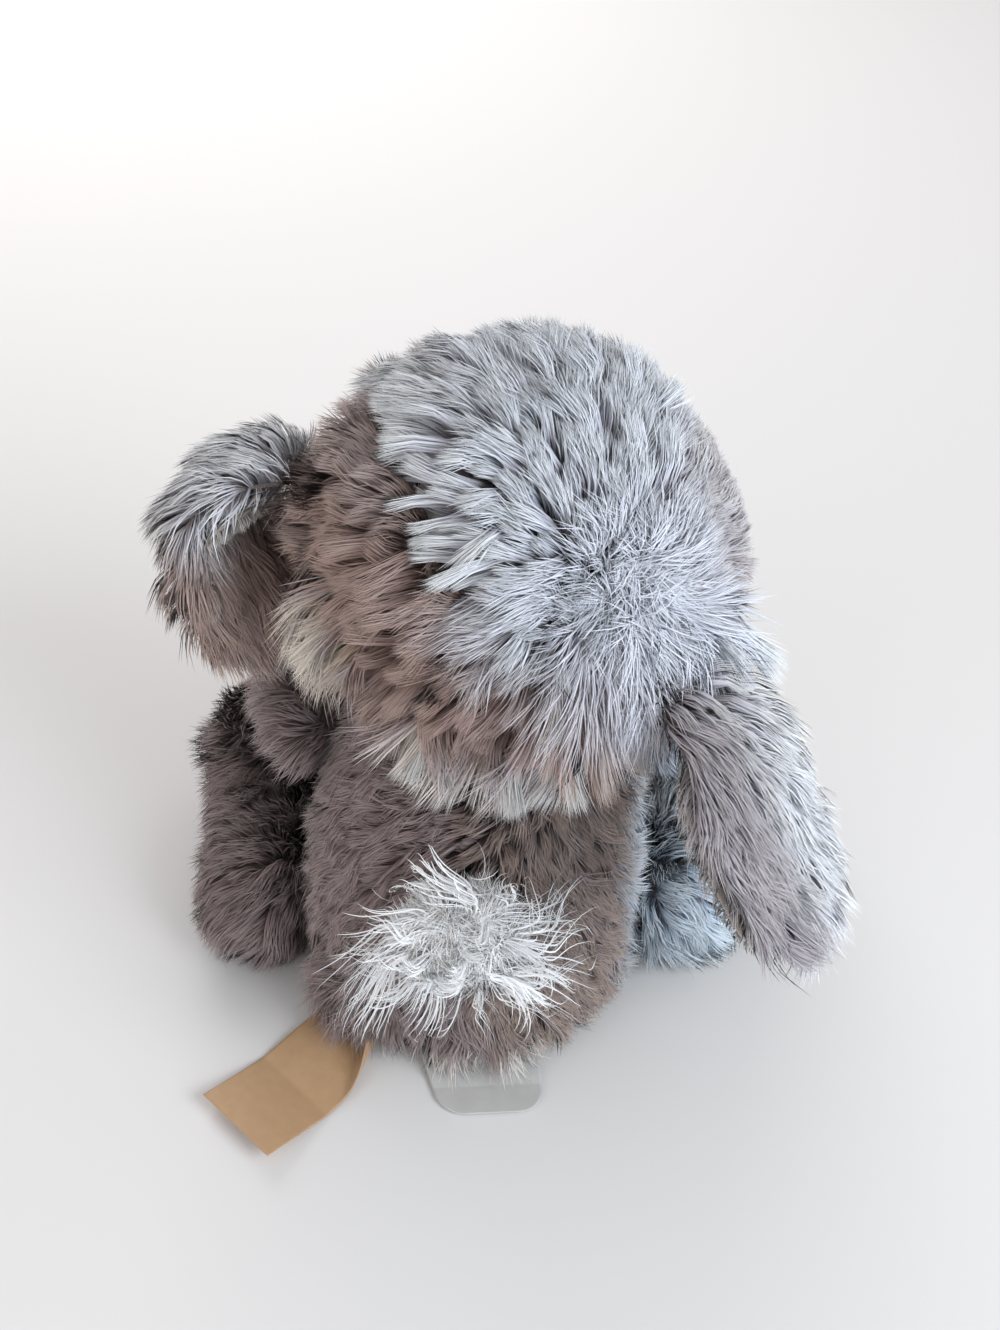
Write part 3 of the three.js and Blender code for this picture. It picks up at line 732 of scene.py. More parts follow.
print("down, as seen from the camera, is", seen(0, 1))

# %% [markdown]
# A skin is painted with its comb before the fur grows. The direction at a point is a blend of a few
# currents, each a place with a direction and a reach, laid down the way a hand leaves the pile after
# stroking it.


# %% Combing
def paint(skin, **layers):
    """Stores values on the vertices of a skin, one for all of them or one for each."""
    for name, values in layers.items():
        layer = skin.data.attributes.new(name, "FLOAT", "POINT")
        layer.data.foreach_set("value", np.full(len(skin.data.vertices), values, float))


def laid_down(ways, normals, least):
    """Ways laid flat on a skin and made one long, unless less than `least` of them is left."""
    flat = ways - normals * np.sum(ways * normals, axis=1)[:, None]
    return flat / np.maximum(np.linalg.norm(flat, axis=1), least)[:, None]


def store_comb(skin, comb):
    """Lays a comb along a skin and stores it. Where it is short, the fur stands up."""
    _, normals = mesh_arrays(skin)
    layer = skin.data.attributes.new("comb", "FLOAT_VECTOR", "POINT")
    layer.data.foreach_set("vector", laid_down(comb, normals, 1).ravel())
    # a skin that is not painted otherwise gets even clumping and no painted shade
    for name, value in (("fur_clump", 1), ("fur_cast", 0)):
        if name not in skin.data.attributes:
            paint(skin, **{name: value})


def comb_skin(skin, currents, fall=(0, 0, -1), fall_share=0.04):
    """Blends currents to a comb. A current is a place, a direction, a reach in mm, and how flat it lies.

    `fall` is the comb away from all currents, one direction or one for each vertex. Where currents part or
    meet, what is left of them is short, and the fur there stands up.
    """
    places, _ = mesh_arrays(skin)
    comb = np.broadcast_to(np.array(fall, float) * fall_share, places.shape).copy()
    total = np.full(len(places), fall_share)
    for centre, way, reach, *flatness in currents:
        weight = np.exp(-((off_point(places, centre) / reach) ** 2))
        comb += weight[:, None] * np.array(Vector(way).normalized()) * (flatness[0] if flatness else 1)
        total += weight
    store_comb(skin, comb * (2.0 / total)[:, None])


def mark_regions(skin, region_of=None):
    """Gives each face the number of the fur that grows on it."""
    count = len(skin.data.polygons)
    centres = np.empty(count * 3)
    skin.data.polygons.foreach_get("center", centres)
    regions = region_of(centres.reshape(-1, 3) / MM) if region_of else np.zeros(count)
    layer = skin.data.attributes.new("region", "INT", "FACE")
    layer.data.foreach_set("value", regions.astype(np.int32))


print("skins can be painted and combed")

# %% [markdown]
# The fur tree then grows on a copy of the skin, and its result is kept as a plain mesh. Each finished
# piece says what it moves with and which solid it stands for.

# %% Growing and dressing
SPENT = ["comb", "region", "fur_amount", "fur_length", "fur_clump"]
SPENT += ["root", "lock_root", "upright", "way", "size", "across"]


def grow_fur(skin, name, strand, material, region=0, **sizes):
    """The fur of one region of a skin, as a plain mesh."""
    carrier = bpy.data.objects.new(name, skin.data.copy())
    scene.collection.objects.link(carrier)
    modifier = carrier.modifiers.new("fur", "NODES")
    modifier.node_group = fur_tree
    values = {"Strand": strand, "Fur": material, "Region": region}
    values.update({key.replace("_", " "): value for key, value in sizes.items()})
    for socket in fur_tree.interface.items_tree:
        if socket.in_out == "INPUT" and socket.name in values:
            modifier[socket.identifier] = values[socket.name]
    bake_modifiers(carrier)
    for layer in SPENT:
        if layer in carrier.data.attributes:
            carrier.data.attributes.remove(carrier.data.attributes[layer])
    print(name, "has", sum(len(p.vertices) - 2 for p in carrier.data.polygons), "triangles")
    return carrier


def dress(piece, body, slot, *nodes):
    """Says which body a piece moves with and which solids it stands for, and hides those. `slot`, the finish
    it takes, is not used.
    """
    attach(piece, body)
    if nodes:
        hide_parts(*nodes)


short_cloth = cloth_material("short pile backing", (0.42, 0.37, 0.34), (0.52, 0.47, 0.44), 900)
CLOTHS = {"fur": backing, "short_fur": short_cloth}


def coat(cloth, body, slot, node, furs, region_of=None):
    """Grows a fur on each region of a cloth and gives the cloth its backing. A fur is a name, a material and
    sizes.
    """
    cloth.data.materials.append(CLOTHS[slot])
    mark_regions(cloth, region_of)
    for region, (name, material, sizes) in enumerate(furs):
        dress(grow_fur(cloth, name, short_strand, material, region, **sizes), body, slot, node)
    dress(cloth, body, slot, node)


def draw_in(skin, distance):
    """Moves a skin inwards, by one distance or by one for each vertex."""
    places, normals = mesh_arrays(skin)
    set_places(skin, places - normals * np.reshape(distance, (-1, 1)))


def lumpy(skin, height, size, seed):
    """Packed filling under the cloth."""
    places, normals = mesh_arrays(skin)
    lumps = np.array([noise.noise(Vector(p) / size + Vector((seed, 0, 0))) for p in places])
    set_places(skin, places + normals * (lumps * height)[:, None])


print("grooming tools are ready")

# %% [markdown]
# The head is a ball a hand wide, with full cheeks. It is a main form and the fur on it is the longest, so
# it gets the most strands. Whatever sits on the head is given about its centre, as if it looked straight
# ahead, and turned with it.

# %% The head's skin
HEAD_CENTRE = np.array([-14, -9, 144.65])
HEAD_RADIUS = 52
HEAD_TURN = Euler((0, math.radians(-9), math.radians(-34)), "XYZ").to_matrix()
HEAD_PILE = 7
CHEEK_TURN = math.radians(62)
CHEEK_SPREAD = math.radians(30)
CHEEK_SWELL = 3.5


def from_head(point):
    """A point given about the head's centre, before the head turned, as it is on the table."""
    return np.array(HEAD_TURN @ Vector(point)) + HEAD_CENTRE


def onto_head(vertices, faces):
    """The same for a form."""
    return [Vector(from_head(v / MM)) * MM for v in vertices], faces


def head_skin():
    vertices, faces = ball_form((0, 0, 0), (1000, 1000, 1000), subdivisions=6)
    forward, sideways = -math.cos(CHEEK_TURN), math.sin(CHEEK_TURN)
    cheeks = [Vector((side * sideways, forward, -0.21)).normalized() for side in (-1, 1)]
    placed = []
    for way in vertices:
        way = way.normalized()
        below = math.degrees(way.angle(Vector((0, 0, -1))))
        swell = sum(CHEEK_SWELL * math.exp(-((way.angle(c) / CHEEK_SPREAD) ** 2)) for c in cheeks)
        radius = HEAD_RADIUS - HEAD_PILE + swell * float(ramp(below, 62, 80))
        placed.append(Vector(from_head(way * radius)) * MM)
    return new_piece("head_cloth", placed, faces)


head_cloth = head_skin()
lumpy(head_cloth, 1.2, 16, 3)
print("head cloth spans", [round(v / MM, 1) for v in head_cloth.dimensions])

# %% [markdown]
# The fur runs out to all sides from a whorl low on the right of the head's back. It parts along a valley
# behind the left ear, with pale tufts beside the valley, stands out over the right ear, and hangs below
# as a long pale fringe. All these places lie on the pile, about 50 mm from the middle, and are moved down
# to the cloth.

# %% The comb of the head
WHORL = np.array((-38, 30, 160))
PARTING_DEPTH = 6
EYE_REACH = 47
PILE_REACH = 50
HEAD_CURRENTS = [
    # beside the left ear's root, and the tuft on the cheek below it
    ((36, -13, 158), (1, 0.5, 0.2), 9, 0.25),
    ((31, 12, 139), seen(-1, 0.7), 10),
    # the pale tufts beside the parting
    ((10, -18, 188), seen(-1, -0.2), 9),
    ((5, 6, 188), seen(-1, 0), 9),
    ((-2, 24, 180), seen(-1, 0.15), 9),
    ((-7, 33, 171), seen(-1, 0.2), 8),
    # under the whorl
    ((-38, 32, 134), seen(0.15, 1), 10),
    # the left side
    ((34, -6, 145), seen(-1, 0.5), 14),
    ((30, 6, 128), seen(-0.8, 0.9), 14),
    # the fringe
    ((-4, 32, 115), seen(-0.45, 1), 11, 0.8),
    ((-28, 33, 115), seen(0.1, 1), 11, 0.8),
    # what hangs over the right ear
    ((-51, 17, 124), seen(0.6, 1), 12),
    ((-38, 36, 143), seen(0.3, 1), 9),
    ((-50, 25, 143), seen(0.5, 1), 9),
]


def face_places(points):
    """Places about the head's centre before it turned, for what belongs to the face."""
    back = np.array(HEAD_TURN.transposed())
    return (points - HEAD_CENTRE) @ back.T


def from_cap(point):
    """A place on the pile, moved down to the cloth."""
    return HEAD_CENTRE + (np.array(point) - HEAD_CENTRE) * ((HEAD_RADIUS - HEAD_PILE) / PILE_REACH)


CHEEK = from_cap((31, 12, 139))
EAR_ROOT = from_cap((36, -13, 157))
WHORL_ROOT = from_cap(WHORL)
PARTING = [from_cap(p) for p in ((18, -12, 183), (11, 8, 184), (5, 24, 177), (-1, 33, 168))]
PALE_BANK = [from_cap(p) for p in ((10, -18, 188), (5, 6, 188), (-2, 24, 180), (-7, 33, 171))]
FRINGE = [from_cap(p) for p in ((6, 29, 115), (-9, 33, 114), (-24, 32, 114))]
OVER_EAR = [from_cap(p) for p in ((-31, 41, 143), (-42, 36, 147), (-52, 23, 145))]


def paint_head():
    """The length, amount and clumping of the head's fur, and its painted shade, a brown cast."""
    places, _ = mesh_arrays(head_cloth)
    local = face_places(places)
    face = ramp(-local[:, 1], 5, 40)
    neck = ramp(-local[:, 2], 36, 42)
    bank = within(off_line(places, PALE_BANK), 4, 8)
    parting = within(off_line(places, PARTING), 3, 10) * (1 - 0.7 * bank)
    beside_ear = within(off_point(places, EAR_ROOT), 5, 14)
    over_ear = within(off_line(places, OVER_EAR), 6, 14)
    fringe = within(off_line(places, FRINGE), 7, 13)
    cheek = within(off_point(places, CHEEK), 9, 15)
    longer = 1 + 0.35 * beside_ear + 0.7 * over_ear + 0.75 * fringe + 0.6 * cheek + 0.15 * bank
    right_edge = ramp(-places[:, 0], 38, 54) * (1 - over_ear)
    whorl = within(off_point(places, WHORL_ROOT), 6, 20)
    length = (1 - 0.5 * face) * (1 - 0.5 * parting) * longer * (1 - 0.3 * right_edge)
    amount = np.where(neck > 0.95, 0.0, 1 - 0.35 * face) * (1 - 0.45 * parting) * (1 + 0.9 * whorl)
    draw_in(head_cloth, PARTING_DEPTH * parting - 3.5 * face)
    for side in (-1, 1):
        near = off_point(local, np.array([side * 0.585, -0.805, 0.105]) * EYE_REACH)
        amount *= ramp(near, 6.5, 8.5)
        length *= 0.35 + 0.65 * ramp(near, 6, 16)
    smooth_top = within(off_point(places, (-40, -8, 180)), 20, 40)
    left = ramp(places[:, 0] + 0.25 * places[:, 1], -10, 20) * (1 - 0.5 * ramp(places[:, 2], 164, 182))
    low = ramp(-places[:, 2], -162, -136) * ramp(places[:, 0], -42, -24)
    # painted shade: brown on the left side, in the parting's valley, low on the head and along its right
    # edge, but not on the pale tufts beside the parting
    shade_sum = left + 0.7 * parting + low + 0.45 * right_edge
    # no painted shade on the cheek below the left ear, where warm light is painted in instead, nor on the
    # fringe
    unshaded = np.maximum(within(off_point(places, CHEEK), 10, 14), fringe)
    cast = np.clip(shade_sum * (1 - bank) * (1 - unshaded), 0, 1)
    paint(head_cloth, fur_length=length, fur_amount=amount, fur_clump=1 - 0.6 * smooth_top, fur_cast=cast)


def comb_head():
    """From the whorl the fur runs out to all sides, and below it the fur also hangs."""
    places, normals = mesh_arrays(head_cloth)
    away = places - WHORL
    out = laid_down(away / np.linalg.norm(away, axis=1)[:, None], normals, 0.35)
    swirl = (0.5 * np.clip(off_point(places, WHORL_ROOT) / 22, 0, 1))[:, None] * out
    hang = (0.4 * ramp(WHORL[2] - places[:, 2], 5, 35))[:, None] * np.array((0, 0, -1))
    comb_skin(head_cloth, HEAD_CURRENTS, fall=swirl + hang, fall_share=0.35)


paint_head()
comb_head()
print("the head is combed by", len(HEAD_CURRENTS), "currents and a whorl")

# %% [markdown]
# Each tuft that differs is a region of the skin, and gets a fur with its own colours and sizes. The wide,
# blunt locks of the fringe and of the pale tufts are fewer and pull together more, the face is short and
# even. Some of these colours are painted light and shade: the cheek's warm cream is a pool of light
# below the left ear, the crown's bluish tone is the window's cool light, and the nape's darker fur is shade.


# %% The head's fur
def head_region(centres):
    behind = centres[:, 1] * 0.7 + (centres[:, 2] - 140) * 0.7
    back = np.where(centres[:, 0] > -2, 1, np.where(centres[:, 2] > 150, 2, 3))
    region = np.where(behind < -12, 0, back)
    for number, inside in (
        (7, off_line(centres, PALE_BANK) < 7),
        (6, off_line(centres, OVER_EAR) < 9),
        (5, off_line(centres, FRINGE) < 9),
        (8, off_point(centres, WHORL_ROOT) < 17),
        (4, off_point(centres, CHEEK) < 11.5),
    ):
        region = np.where(inside, number, region)
    return region


face_fur = fur_material(
    "face fur", (0.68, 0.64, 0.65), (0.76, 0.74, 0.79), (0.90, 0.91, 0.97), SHADE_BROWN,
    spread=0.16, shade=0.06, pile=0.9,
)
# The crown's bluish tone is the window's cool light painted in.
crown_fur = fur_material(
    "crown fur", (0.54, 0.53, 0.59), (0.74, 0.76, 0.87), (0.90, 0.94, 1.0), SHADE_BROWN,
    spread=0.14, shade=0.08, pile=0.9,
)
whorl_fur = fur_material(
    "whorl fur", (0.52, 0.52, 0.58), (0.66, 0.67, 0.76), (0.84, 0.87, 0.96), SHADE_BROWN,
    spread=0.1, shade=0.0, pile=0.8,
)
# The nape's darker fur is painted shade. The cheek's cream fur is a pool of warm light painted in below the
# left ear.
nape_fur = fur_material("nape fur", (0.28, 0.22, 0.21), (0.50, 0.46, 0.49), (0.82, 0.82, 0.88), SHADE_BROWN)
lit_cheek_fur = fur_material("cream fur", (0.42, 0.30, 0.22), (0.74, 0.59, 0.47), (0.95, 0.85, 0.74), SHADE_BROWN)
pale_fur = fur_material("pale fur", (0.34, 0.30, 0.32), (0.80, 0.82, 0.92), (0.95, 0.98, 1.0), SHADE_BROWN)
fringe_fur = fur_material("fringe fur", (0.58, 0.50, 0.46), (0.93, 0.83, 0.77), (1.0, 0.96, 0.92), SHADE_BROWN)
HEAD_FUR = dict(
    Seed=40, Strands_per_m2=4.4e6, Locks_per_m2=8.5e4, Length=0.0165, Length_Spread=0.16, Width=0.00042,
    Lean=0.76, Droop=0.08, Lock_Pull=0.62, Lock_Stray=0.4, Tangle=0.28, Tangle_Scale=50.0, Stray=0.22,
    Roundness=0.35, Bend=0.15,
)
COARSE_LOCKS = dict(Locks_per_m2=6.0e4, Lock_Pull=0.72, Gather=0.85, Lock_Stray=0.55)
BLUNT_LOCKS = dict(
    Locks_per_m2=4.5e4, Lock_Pull=0.8, Gather=0.7, Length_Spread=0.1, Stray=0.12, Roundness=0.5,
)
HEAD_TUFTS = [
    ("face", face_fur, dict(Locks_per_m2=1.4e5, Lock_Pull=0.35, Width=0.00058, Stray=0.3)),
    ("left", head_fur, dict(COARSE_LOCKS, Lean=0.62, Lock_Stray=0.8)),
    ("crown", crown_fur, dict(Lock_Stray=0.5, Lean=0.7)),
    ("nape", nape_fur, dict(COARSE_LOCKS, Lock_Stray=0.7)),
    ("cheek", lit_cheek_fur, {}),
    ("fringe", fringe_fur, BLUNT_LOCKS),
    ("over_ear", pale_fur, dict(BLUNT_LOCKS, Lean=0.6)),
    ("parting", pale_fur, dict(BLUNT_LOCKS, Locks_per_m2=7.0e4, Lean=0.64)),
    ("whorl", whorl_fur, dict(Lock_Pull=0.45, Stray=0.5, Least_Lean=0.7)),
]
head_furs = [(f"head_fur_{tuft}", colour, {**HEAD_FUR, **own}) for tuft, colour, own in HEAD_TUFTS]
coat(head_cloth, "head", "fur", "head_skin", head_furs, head_region)

# %% [markdown]
# The body is a pear that widens to the seat, pressed flat where it sits. Its pile is shorter than the
# head's, its fur is painted darker and browner as the shade below the head, and it is brushed out to both
# sides.

# %% The body
BODY_STATIONS = [
    (0, 0, 0, 47, 45),
    (0, 0, 24, 47, 45),
    (-2.1, -1.4, 54, 45, 43),
    (-7, -4.5, 84, 40, 38),
    (-12.6, -8.1, 112, 34, 34),
]
BODY_PILE = 6
body_form = soft_form(BODY_STATIONS, (0, 1, 0), 15, 10, start_power=4, sides=64, rings=60)
body_cloth = new_piece("body_cloth", *body_form)
draw_in(body_cloth, BODY_PILE)
lumpy(body_cloth, 1.0, 16, 8)
print("body cloth spans", [round(v / MM, 1) for v in body_cloth.dimensions])

# %% [markdown]
# The body's fur is brown but for the right flank, where the window's light is painted in as a pale bluish
# colour. It is longer over the labels' seam and beside the left leg, and sparse under the seat and in the
# cup that the head rests in.

# %% The body's fur
BODY_MIDDLE = -2
LABEL_SEAM = (-2, 42, 12)
LEG_CREASE = (34, 30, 16)
BODY_CURRENTS = [
    ((40, 20, 60), (0.9, 0.1, -0.5), 26),
    ((20, 40, 70), (0.7, 0.2, 0.3), 20),
    ((0, 42, 90), (0.5, 0.2, 0.5), 20),
    ((-30, 35, 70), (-0.3, 0.2, -0.9), 24),
    ((-40, 10, 50), (-0.7, 0.2, -0.7), 24),
    ((0, 45, 25), (0.1, 0.6, -0.9), 20),
    ((-2, 42, 10), (0, 0.9, -0.5), 10),
    (LEG_CREASE, (0.9, 0.5, -0.3), 14),
    ((-30, 30, 20), (-0.5, 0.5, -0.7), 22),
]
BODY_FUR = dict(
    Seed=60, Strands_per_m2=3.4e6, Locks_per_m2=1.3e5, Length=0.012, Length_Spread=0.3, Width=0.00046,
    Lean=0.56, Droop=0.1, Lock_Pull=0.55, Lock_Stray=0.8, Tangle=0.5, Tangle_Scale=60.0, Stray=0.35,
    Roundness=0.35, Bend=0.5,
)


def paint_body():
    places, _ = mesh_arrays(body_cloth)
    cup = off_point(places, HEAD_CENTRE)
    seat = ramp(places[:, 2], 6.3, 9)
    over_label = within(off_point(places, LABEL_SEAM), 6, 16)
    beside_leg = within(off_point(places, LEG_CREASE), 8, 20)
    longer = 1 + 0.5 * over_label + 0.8 * beside_leg
    length = (0.35 + 0.65 * ramp(cup, 50, 62)) * (0.25 + 0.75 * seat) * longer
    amount = ramp(cup, 50, 54) * (0.04 + 0.96 * seat)
    # painted light and shade: the right flank's pale bluish painted light shows only at its far side, nearer
    # the middle it is tinted brown
    paint(body_cloth, fur_length=length, fur_amount=amount, fur_cast=within(-places[:, 0], 33, 43))


def body_region(centres):
    left = centres[:, 0] > BODY_MIDDLE
    region = np.where(centres[:, 1] < -4, np.where(left, 0, 4), np.where(left, 1, 2))
    seam = (np.abs(centres[:, 0] - BODY_MIDDLE) < 13) & (centres[:, 1] > 25) & (centres[:, 2] < 15)
    return np.where(seam, 3, region)


paint_body()
comb_skin(body_cloth, BODY_CURRENTS)
seam_fur = fur_material("pale body fur", (0.24, 0.19, 0.17), (0.52, 0.44, 0.40), (0.82, 0.75, 0.70))
# The flank's pale bluish fur is the window's light painted in; its fourth colour is the brown it turns where
# that light ends.
window_lit_flank_fur = fur_material(
    "flank fur", (0.34, 0.38, 0.46), (0.62, 0.73, 0.93), (0.82, 0.92, 1.0), (0.50, 0.33, 0.25)
)
body_furs = [
    (f"body_fur_{side}", colour, BODY_FUR)
    for side, colour in (
        ("front", body_fur),
        ("left", body_fur),
        ("right", window_lit_flank_fur),
        ("seat", seam_fur),
        ("front_right", window_lit_flank_fur),
    )
]
coat(body_cloth, "torso", "fur", "body_skin", body_furs, body_region)

# %% [markdown]
# An ear is a long flat bag that hangs from a seam on the side of the head. The left one springs out and
# folds down past the cheek, the right one slides down over the shoulder. The fur on its back is combed to
# the tip, and a lining of short pale pile is let into its underside, so back and lining are two pieces of
# cloth.

# %% The lines of the ears
EAR_DROPS = {
    "left": [(0, 0, 0), (15, 7, -5), (23, 11, -16), (18, 12, -33), (10, 10, -48), (4, 8, -59)],
    "right": [(0, 0, 0), (19, 4, -7), (31, 6, -21), (40, 7, -32), (48, 8, -41), (55, 9, -49)],
}
EAR_HALF_WIDTHS = (13, 18, 20, 20, 18, 14)
EAR_HALF_THICKNESSES = (6.5, 8, 8, 8, 8, 8)
EAR_SEAM_REACH = 53
EAR_SEAM_TURN = math.radians(71)
EAR_SEAM_RISE = math.radians(6.5)
EAR_PILE = 5
EAR_ROOT_FUR = 66
LINING_SHIFT = -6.4
LINING_HALF_THICKNESS = 1.6
LINING_SHARE = 0.68
EAR_SHADE_SIDE = 15
COMB_REACH = 16
EAR_FUR = dict(
    Seed=80, Strands_per_m2=4.0e6, Locks_per_m2=9.0e4, Length=0.0155, Length_Spread=0.18, Width=0.00046,
    Lean=0.75, Droop=0.14, Lock_Pull=0.58, Lock_Stray=0.3, Tangle=0.2, Tangle_Scale=70.0, Stray=0.26,
    Roundness=0.35, Bend=0.3,
)
SHORT_PILE = dict(
    Strands_per_m2=5.0e6, Width=0.00036, Lean=0.6, Droop=0.0, Lock_Pull=0.5, Tangle=0.2, Tangle_Scale=80.0,
    Stray=0.3,
)
# The fourth colour of each ear's tones is the tint of its painted shade.
LEFT_EAR_TONES = (0.40, 0.36, 0.38), (0.82, 0.82, 0.90), (0.97, 0.98, 1.0), SHADE_BROWN
RIGHT_EAR_TONES = (0.34, 0.31, 0.33), (0.78, 0.78, 0.86), (0.97, 0.98, 1.0), (0.52, 0.46, 0.46)


def ear_line(name, side, shift=0.0):
    """The middle of an ear from its seam to its tip, about the head's centre."""
    sideways, back = math.sin(EAR_SEAM_TURN), math.cos(EAR_SEAM_TURN)
    seam = Vector((side * sideways, back, math.tan(EAR_SEAM_RISE))).normalized() * EAR_SEAM_REACH
    facing = Vector((side, 0, 1)).normalized()
    return [seam + Vector((side * out, back, up)) + facing * shift for out, back, up in EAR_DROPS[name]]


def ear_form(line, widths, thicknesses, side, start_round, end_round):
    stations = [(*place, width, depth) for place, width, depth in zip(line, widths, thicknesses)]
    return onto_head(*soft_form(stations, (side, 0, 1), start_round, end_round, sides=48, rings=50))


def line_currents(line):
    """A comb that runs along a line about the head's centre, from its first place to its last."""
    places = [from_head(p) for p in line]
    ways = [b - a for a, b in zip(places, places[1:])]
    return [(place, way, COMB_REACH) for place, way in zip(places, [*ways, ways[-1]])]


def ear_region(centres):
    """The fur at the root is a region of its own."""
    return off_point(centres, HEAD_CENTRE) < EAR_ROOT_FUR


print("ears of", [len(ear_line(name, side)) for name, side in (("left", 1), ("right", -1))], "stations")

# %% [markdown]
# Each ear is built along its line. The fur is shorter below and at the seam, and a painted shade browns
# one end of the left ear and one side of the right.


# %% The ears
def make_ear(name, side, material):
    line = ear_line(name, side)
    facing = HEAD_TURN @ Vector((side, 0, 1)).normalized()
    form = ear_form(line, EAR_HALF_WIDTHS, EAR_HALF_THICKNESSES, side, 6.5, 14)
    cloth = new_piece(f"ear_{name}_cloth", *form)
    draw_in(cloth, EAR_PILE)
    lumpy(cloth, 0.6, 12, 5 + side)
    places, normals = mesh_arrays(cloth)
    under = ramp(-(normals @ np.array(facing)), 0.55, 0.85)
    off_seam = ramp(off_point(places, HEAD_CENTRE), 50, 58)
    middle = np.array([from_head(p) for p in smooth_line(line, 40)])
    nearest = np.argmin(np.linalg.norm(places[:, None] - middle[None], axis=2), axis=1)
    # painted shade: the left ear browns towards its drooping end, the right one along one side, short of its
    # tip
    if name == "left":
        cast = ramp(nearest, 11, 21)
    else:
        across = np.array(HEAD_TURN @ Vector((0, 1, 0)))
        beside = ((places - middle[nearest]) @ across) / EAR_SHADE_SIDE
        cast = 0.95 * ramp(beside, -0.3, 0.7) * within(nearest, 29, 40)
    length = (1 - 0.6 * under) * (0.4 + 0.6 * off_seam)
    paint(cloth, fur_length=length, fur_amount=(1 - 0.75 * under) * off_seam, fur_cast=cast)
    comb_skin(cloth, line_currents(line), fall=(side * 0.5, 0.3, -1), fall_share=0.1)
    furs = [
        (f"ear_{name}_fur", material, EAR_FUR),
        (f"ear_{name}_root_fur", material, {**EAR_FUR, **BLUNT_LOCKS}),
    ]
    coat(cloth, f"ear_{name}", "fur", f"ear_{name}", furs, ear_region)

    lining_line = ear_line(name, side, LINING_SHIFT)[1:]
    widths = [LINING_SHARE * w for w in EAR_HALF_WIDTHS[1:]]
    thicknesses = [LINING_HALF_THICKNESS] * len(widths)
    lining = new_piece(f"ear_{name}_lining_cloth", *ear_form(lining_line, widths, thicknesses, side, 12, 12))
    places, normals = mesh_arrays(lining)
    outside = ramp(-(normals @ np.array(facing)), -0.1, 0.3)
    paint(lining, fur_length=0.5 + 0.5 * outside, fur_amount=outside)
    comb_skin(lining, line_currents(lining_line))
    pile = dict(SHORT_PILE, Seed=90 + side, Strands_per_m2=4.0e6, Locks_per_m2=5.0e5, Length=0.0042)
    furs = [(f"ear_{name}_lining_fur", short_fur, pile)]
    coat(lining, f"ear_{name}", "short_fur", f"ear_{name}_lining", furs)


make_ear("left", 1, fur_material("left ear fur", *LEFT_EAR_TONES))
make_ear("right", -1, fur_material("right ear fur", *RIGHT_EAR_TONES))

# %% [markdown]
# Arms and legs are sausages of filling, sewn on at one end, so each starts flat against the body. The
# hinge of each seam is in the imported model, and the limb is drawn from it. The toy's right limbs catch
# the window's light in the photograph, and that light is painted into their fur as a pale bluish colour;
# the left arm and leg are brown.

# %% The arms
JOINTS = {joint["name"]: joint for joint in frame["record"]["behaviour"]["joints"]}
ARM_REACH = [(-2.1, 9.45, 4.9), (0, 0, 0), (2.1, -11.9, -3.85), (5.95, -22.05, -9.1), (10.15, -30.1, -15.05)]
ARM_RADII = (12, 12, 12, 12.5, 14.5)
ARM_OFFSET = 6
LIMB_PILE = 4.5
SEAM_GAP = 1.0
LIMB_FUR = dict(
    Strands_per_m2=3.2e6, Locks_per_m2=1.2e5, Length=0.0145, Length_Spread=0.25, Width=0.00046,
    Lean=0.6, Droop=0.1, Lock_Pull=0.5, Lock_Stray=0.45, Tangle=0.3, Tangle_Scale=70.0, Stray=0.32,
    Roundness=0.35, Bend=0.5,
)


def joint_place(name):
    return np.array(JOINTS[name]["pos_m"]) / MM


def keep_off_seam(cloth, seam, way, gap):
    """Flattens a limb's cloth against the plane of its seam."""
    places, _ = mesh_arrays(cloth)
    way = np.array(way)
    inside = np.minimum((places - seam) @ way - gap, 0)
    set_places(cloth, places - inside[:, None] * way)


def make_arm(name, side, material):
    seam = joint_place(f"arm_{name}_swing")
    way = np.array(JOINTS[f"arm_{name}_swing"]["axis"]) * -side
    root = seam + ARM_OFFSET * way
    line = [root + np.array((side * out, forward, up)) for out, forward, up in ARM_REACH]
    stations = [(*place, radius, radius) for place, radius in zip(line, ARM_RADII)]
    cloth = new_piece(f"arm_{name}_cloth", *soft_form(stations, (side, 0, 0.4), 12, 14.5, sides=40, rings=40))
    draw_in(cloth, LIMB_PILE)
    keep_off_seam(cloth, seam, way, SEAM_GAP)
    lumpy(cloth, 0.5, 10, 20 + side)
    places, _ = mesh_arrays(cloth)
    off_seam = ramp((places - seam) @ way, 1.2, 4)
    paint(cloth, fur_length=0.6 + 0.4 * off_seam, fur_amount=off_seam)
    store_comb(cloth, np.tile((side * 1.2, -0.5, -0.5), (len(places), 1)))
    furs = [(f"arm_{name}_fur", material, dict(LIMB_FUR, Seed=100 + side))]
    coat(cloth, f"arm_{name}", "fur", f"arm_{name}", furs)


make_arm("left", 1, body_fur)
# The right arm gets the flank's painted window light.
make_arm("right", -1, window_lit_flank_fur)

# %% [markdown]
# A leg ends in an upright foot with a sole of short pile. Leg and foot are one bag, so their two forms
# are melted together before the fur grows. Where the leg lies on the table, its fur is short and sparse.

# %% The legs
LEG_SPLAY = {"left": 7, "right": 16}
LEG_LENGTH = 56
LEG_OFFSET = 10.5
LEG_RADII = (19, 19, 16.5, 16.5)
FOOT_RADII = (17, 12.5, 28)
FOOT_LEAN = -12
SOLE_DEPTH = 12
SOLE_RADII = (11.5, 2, 22.5)


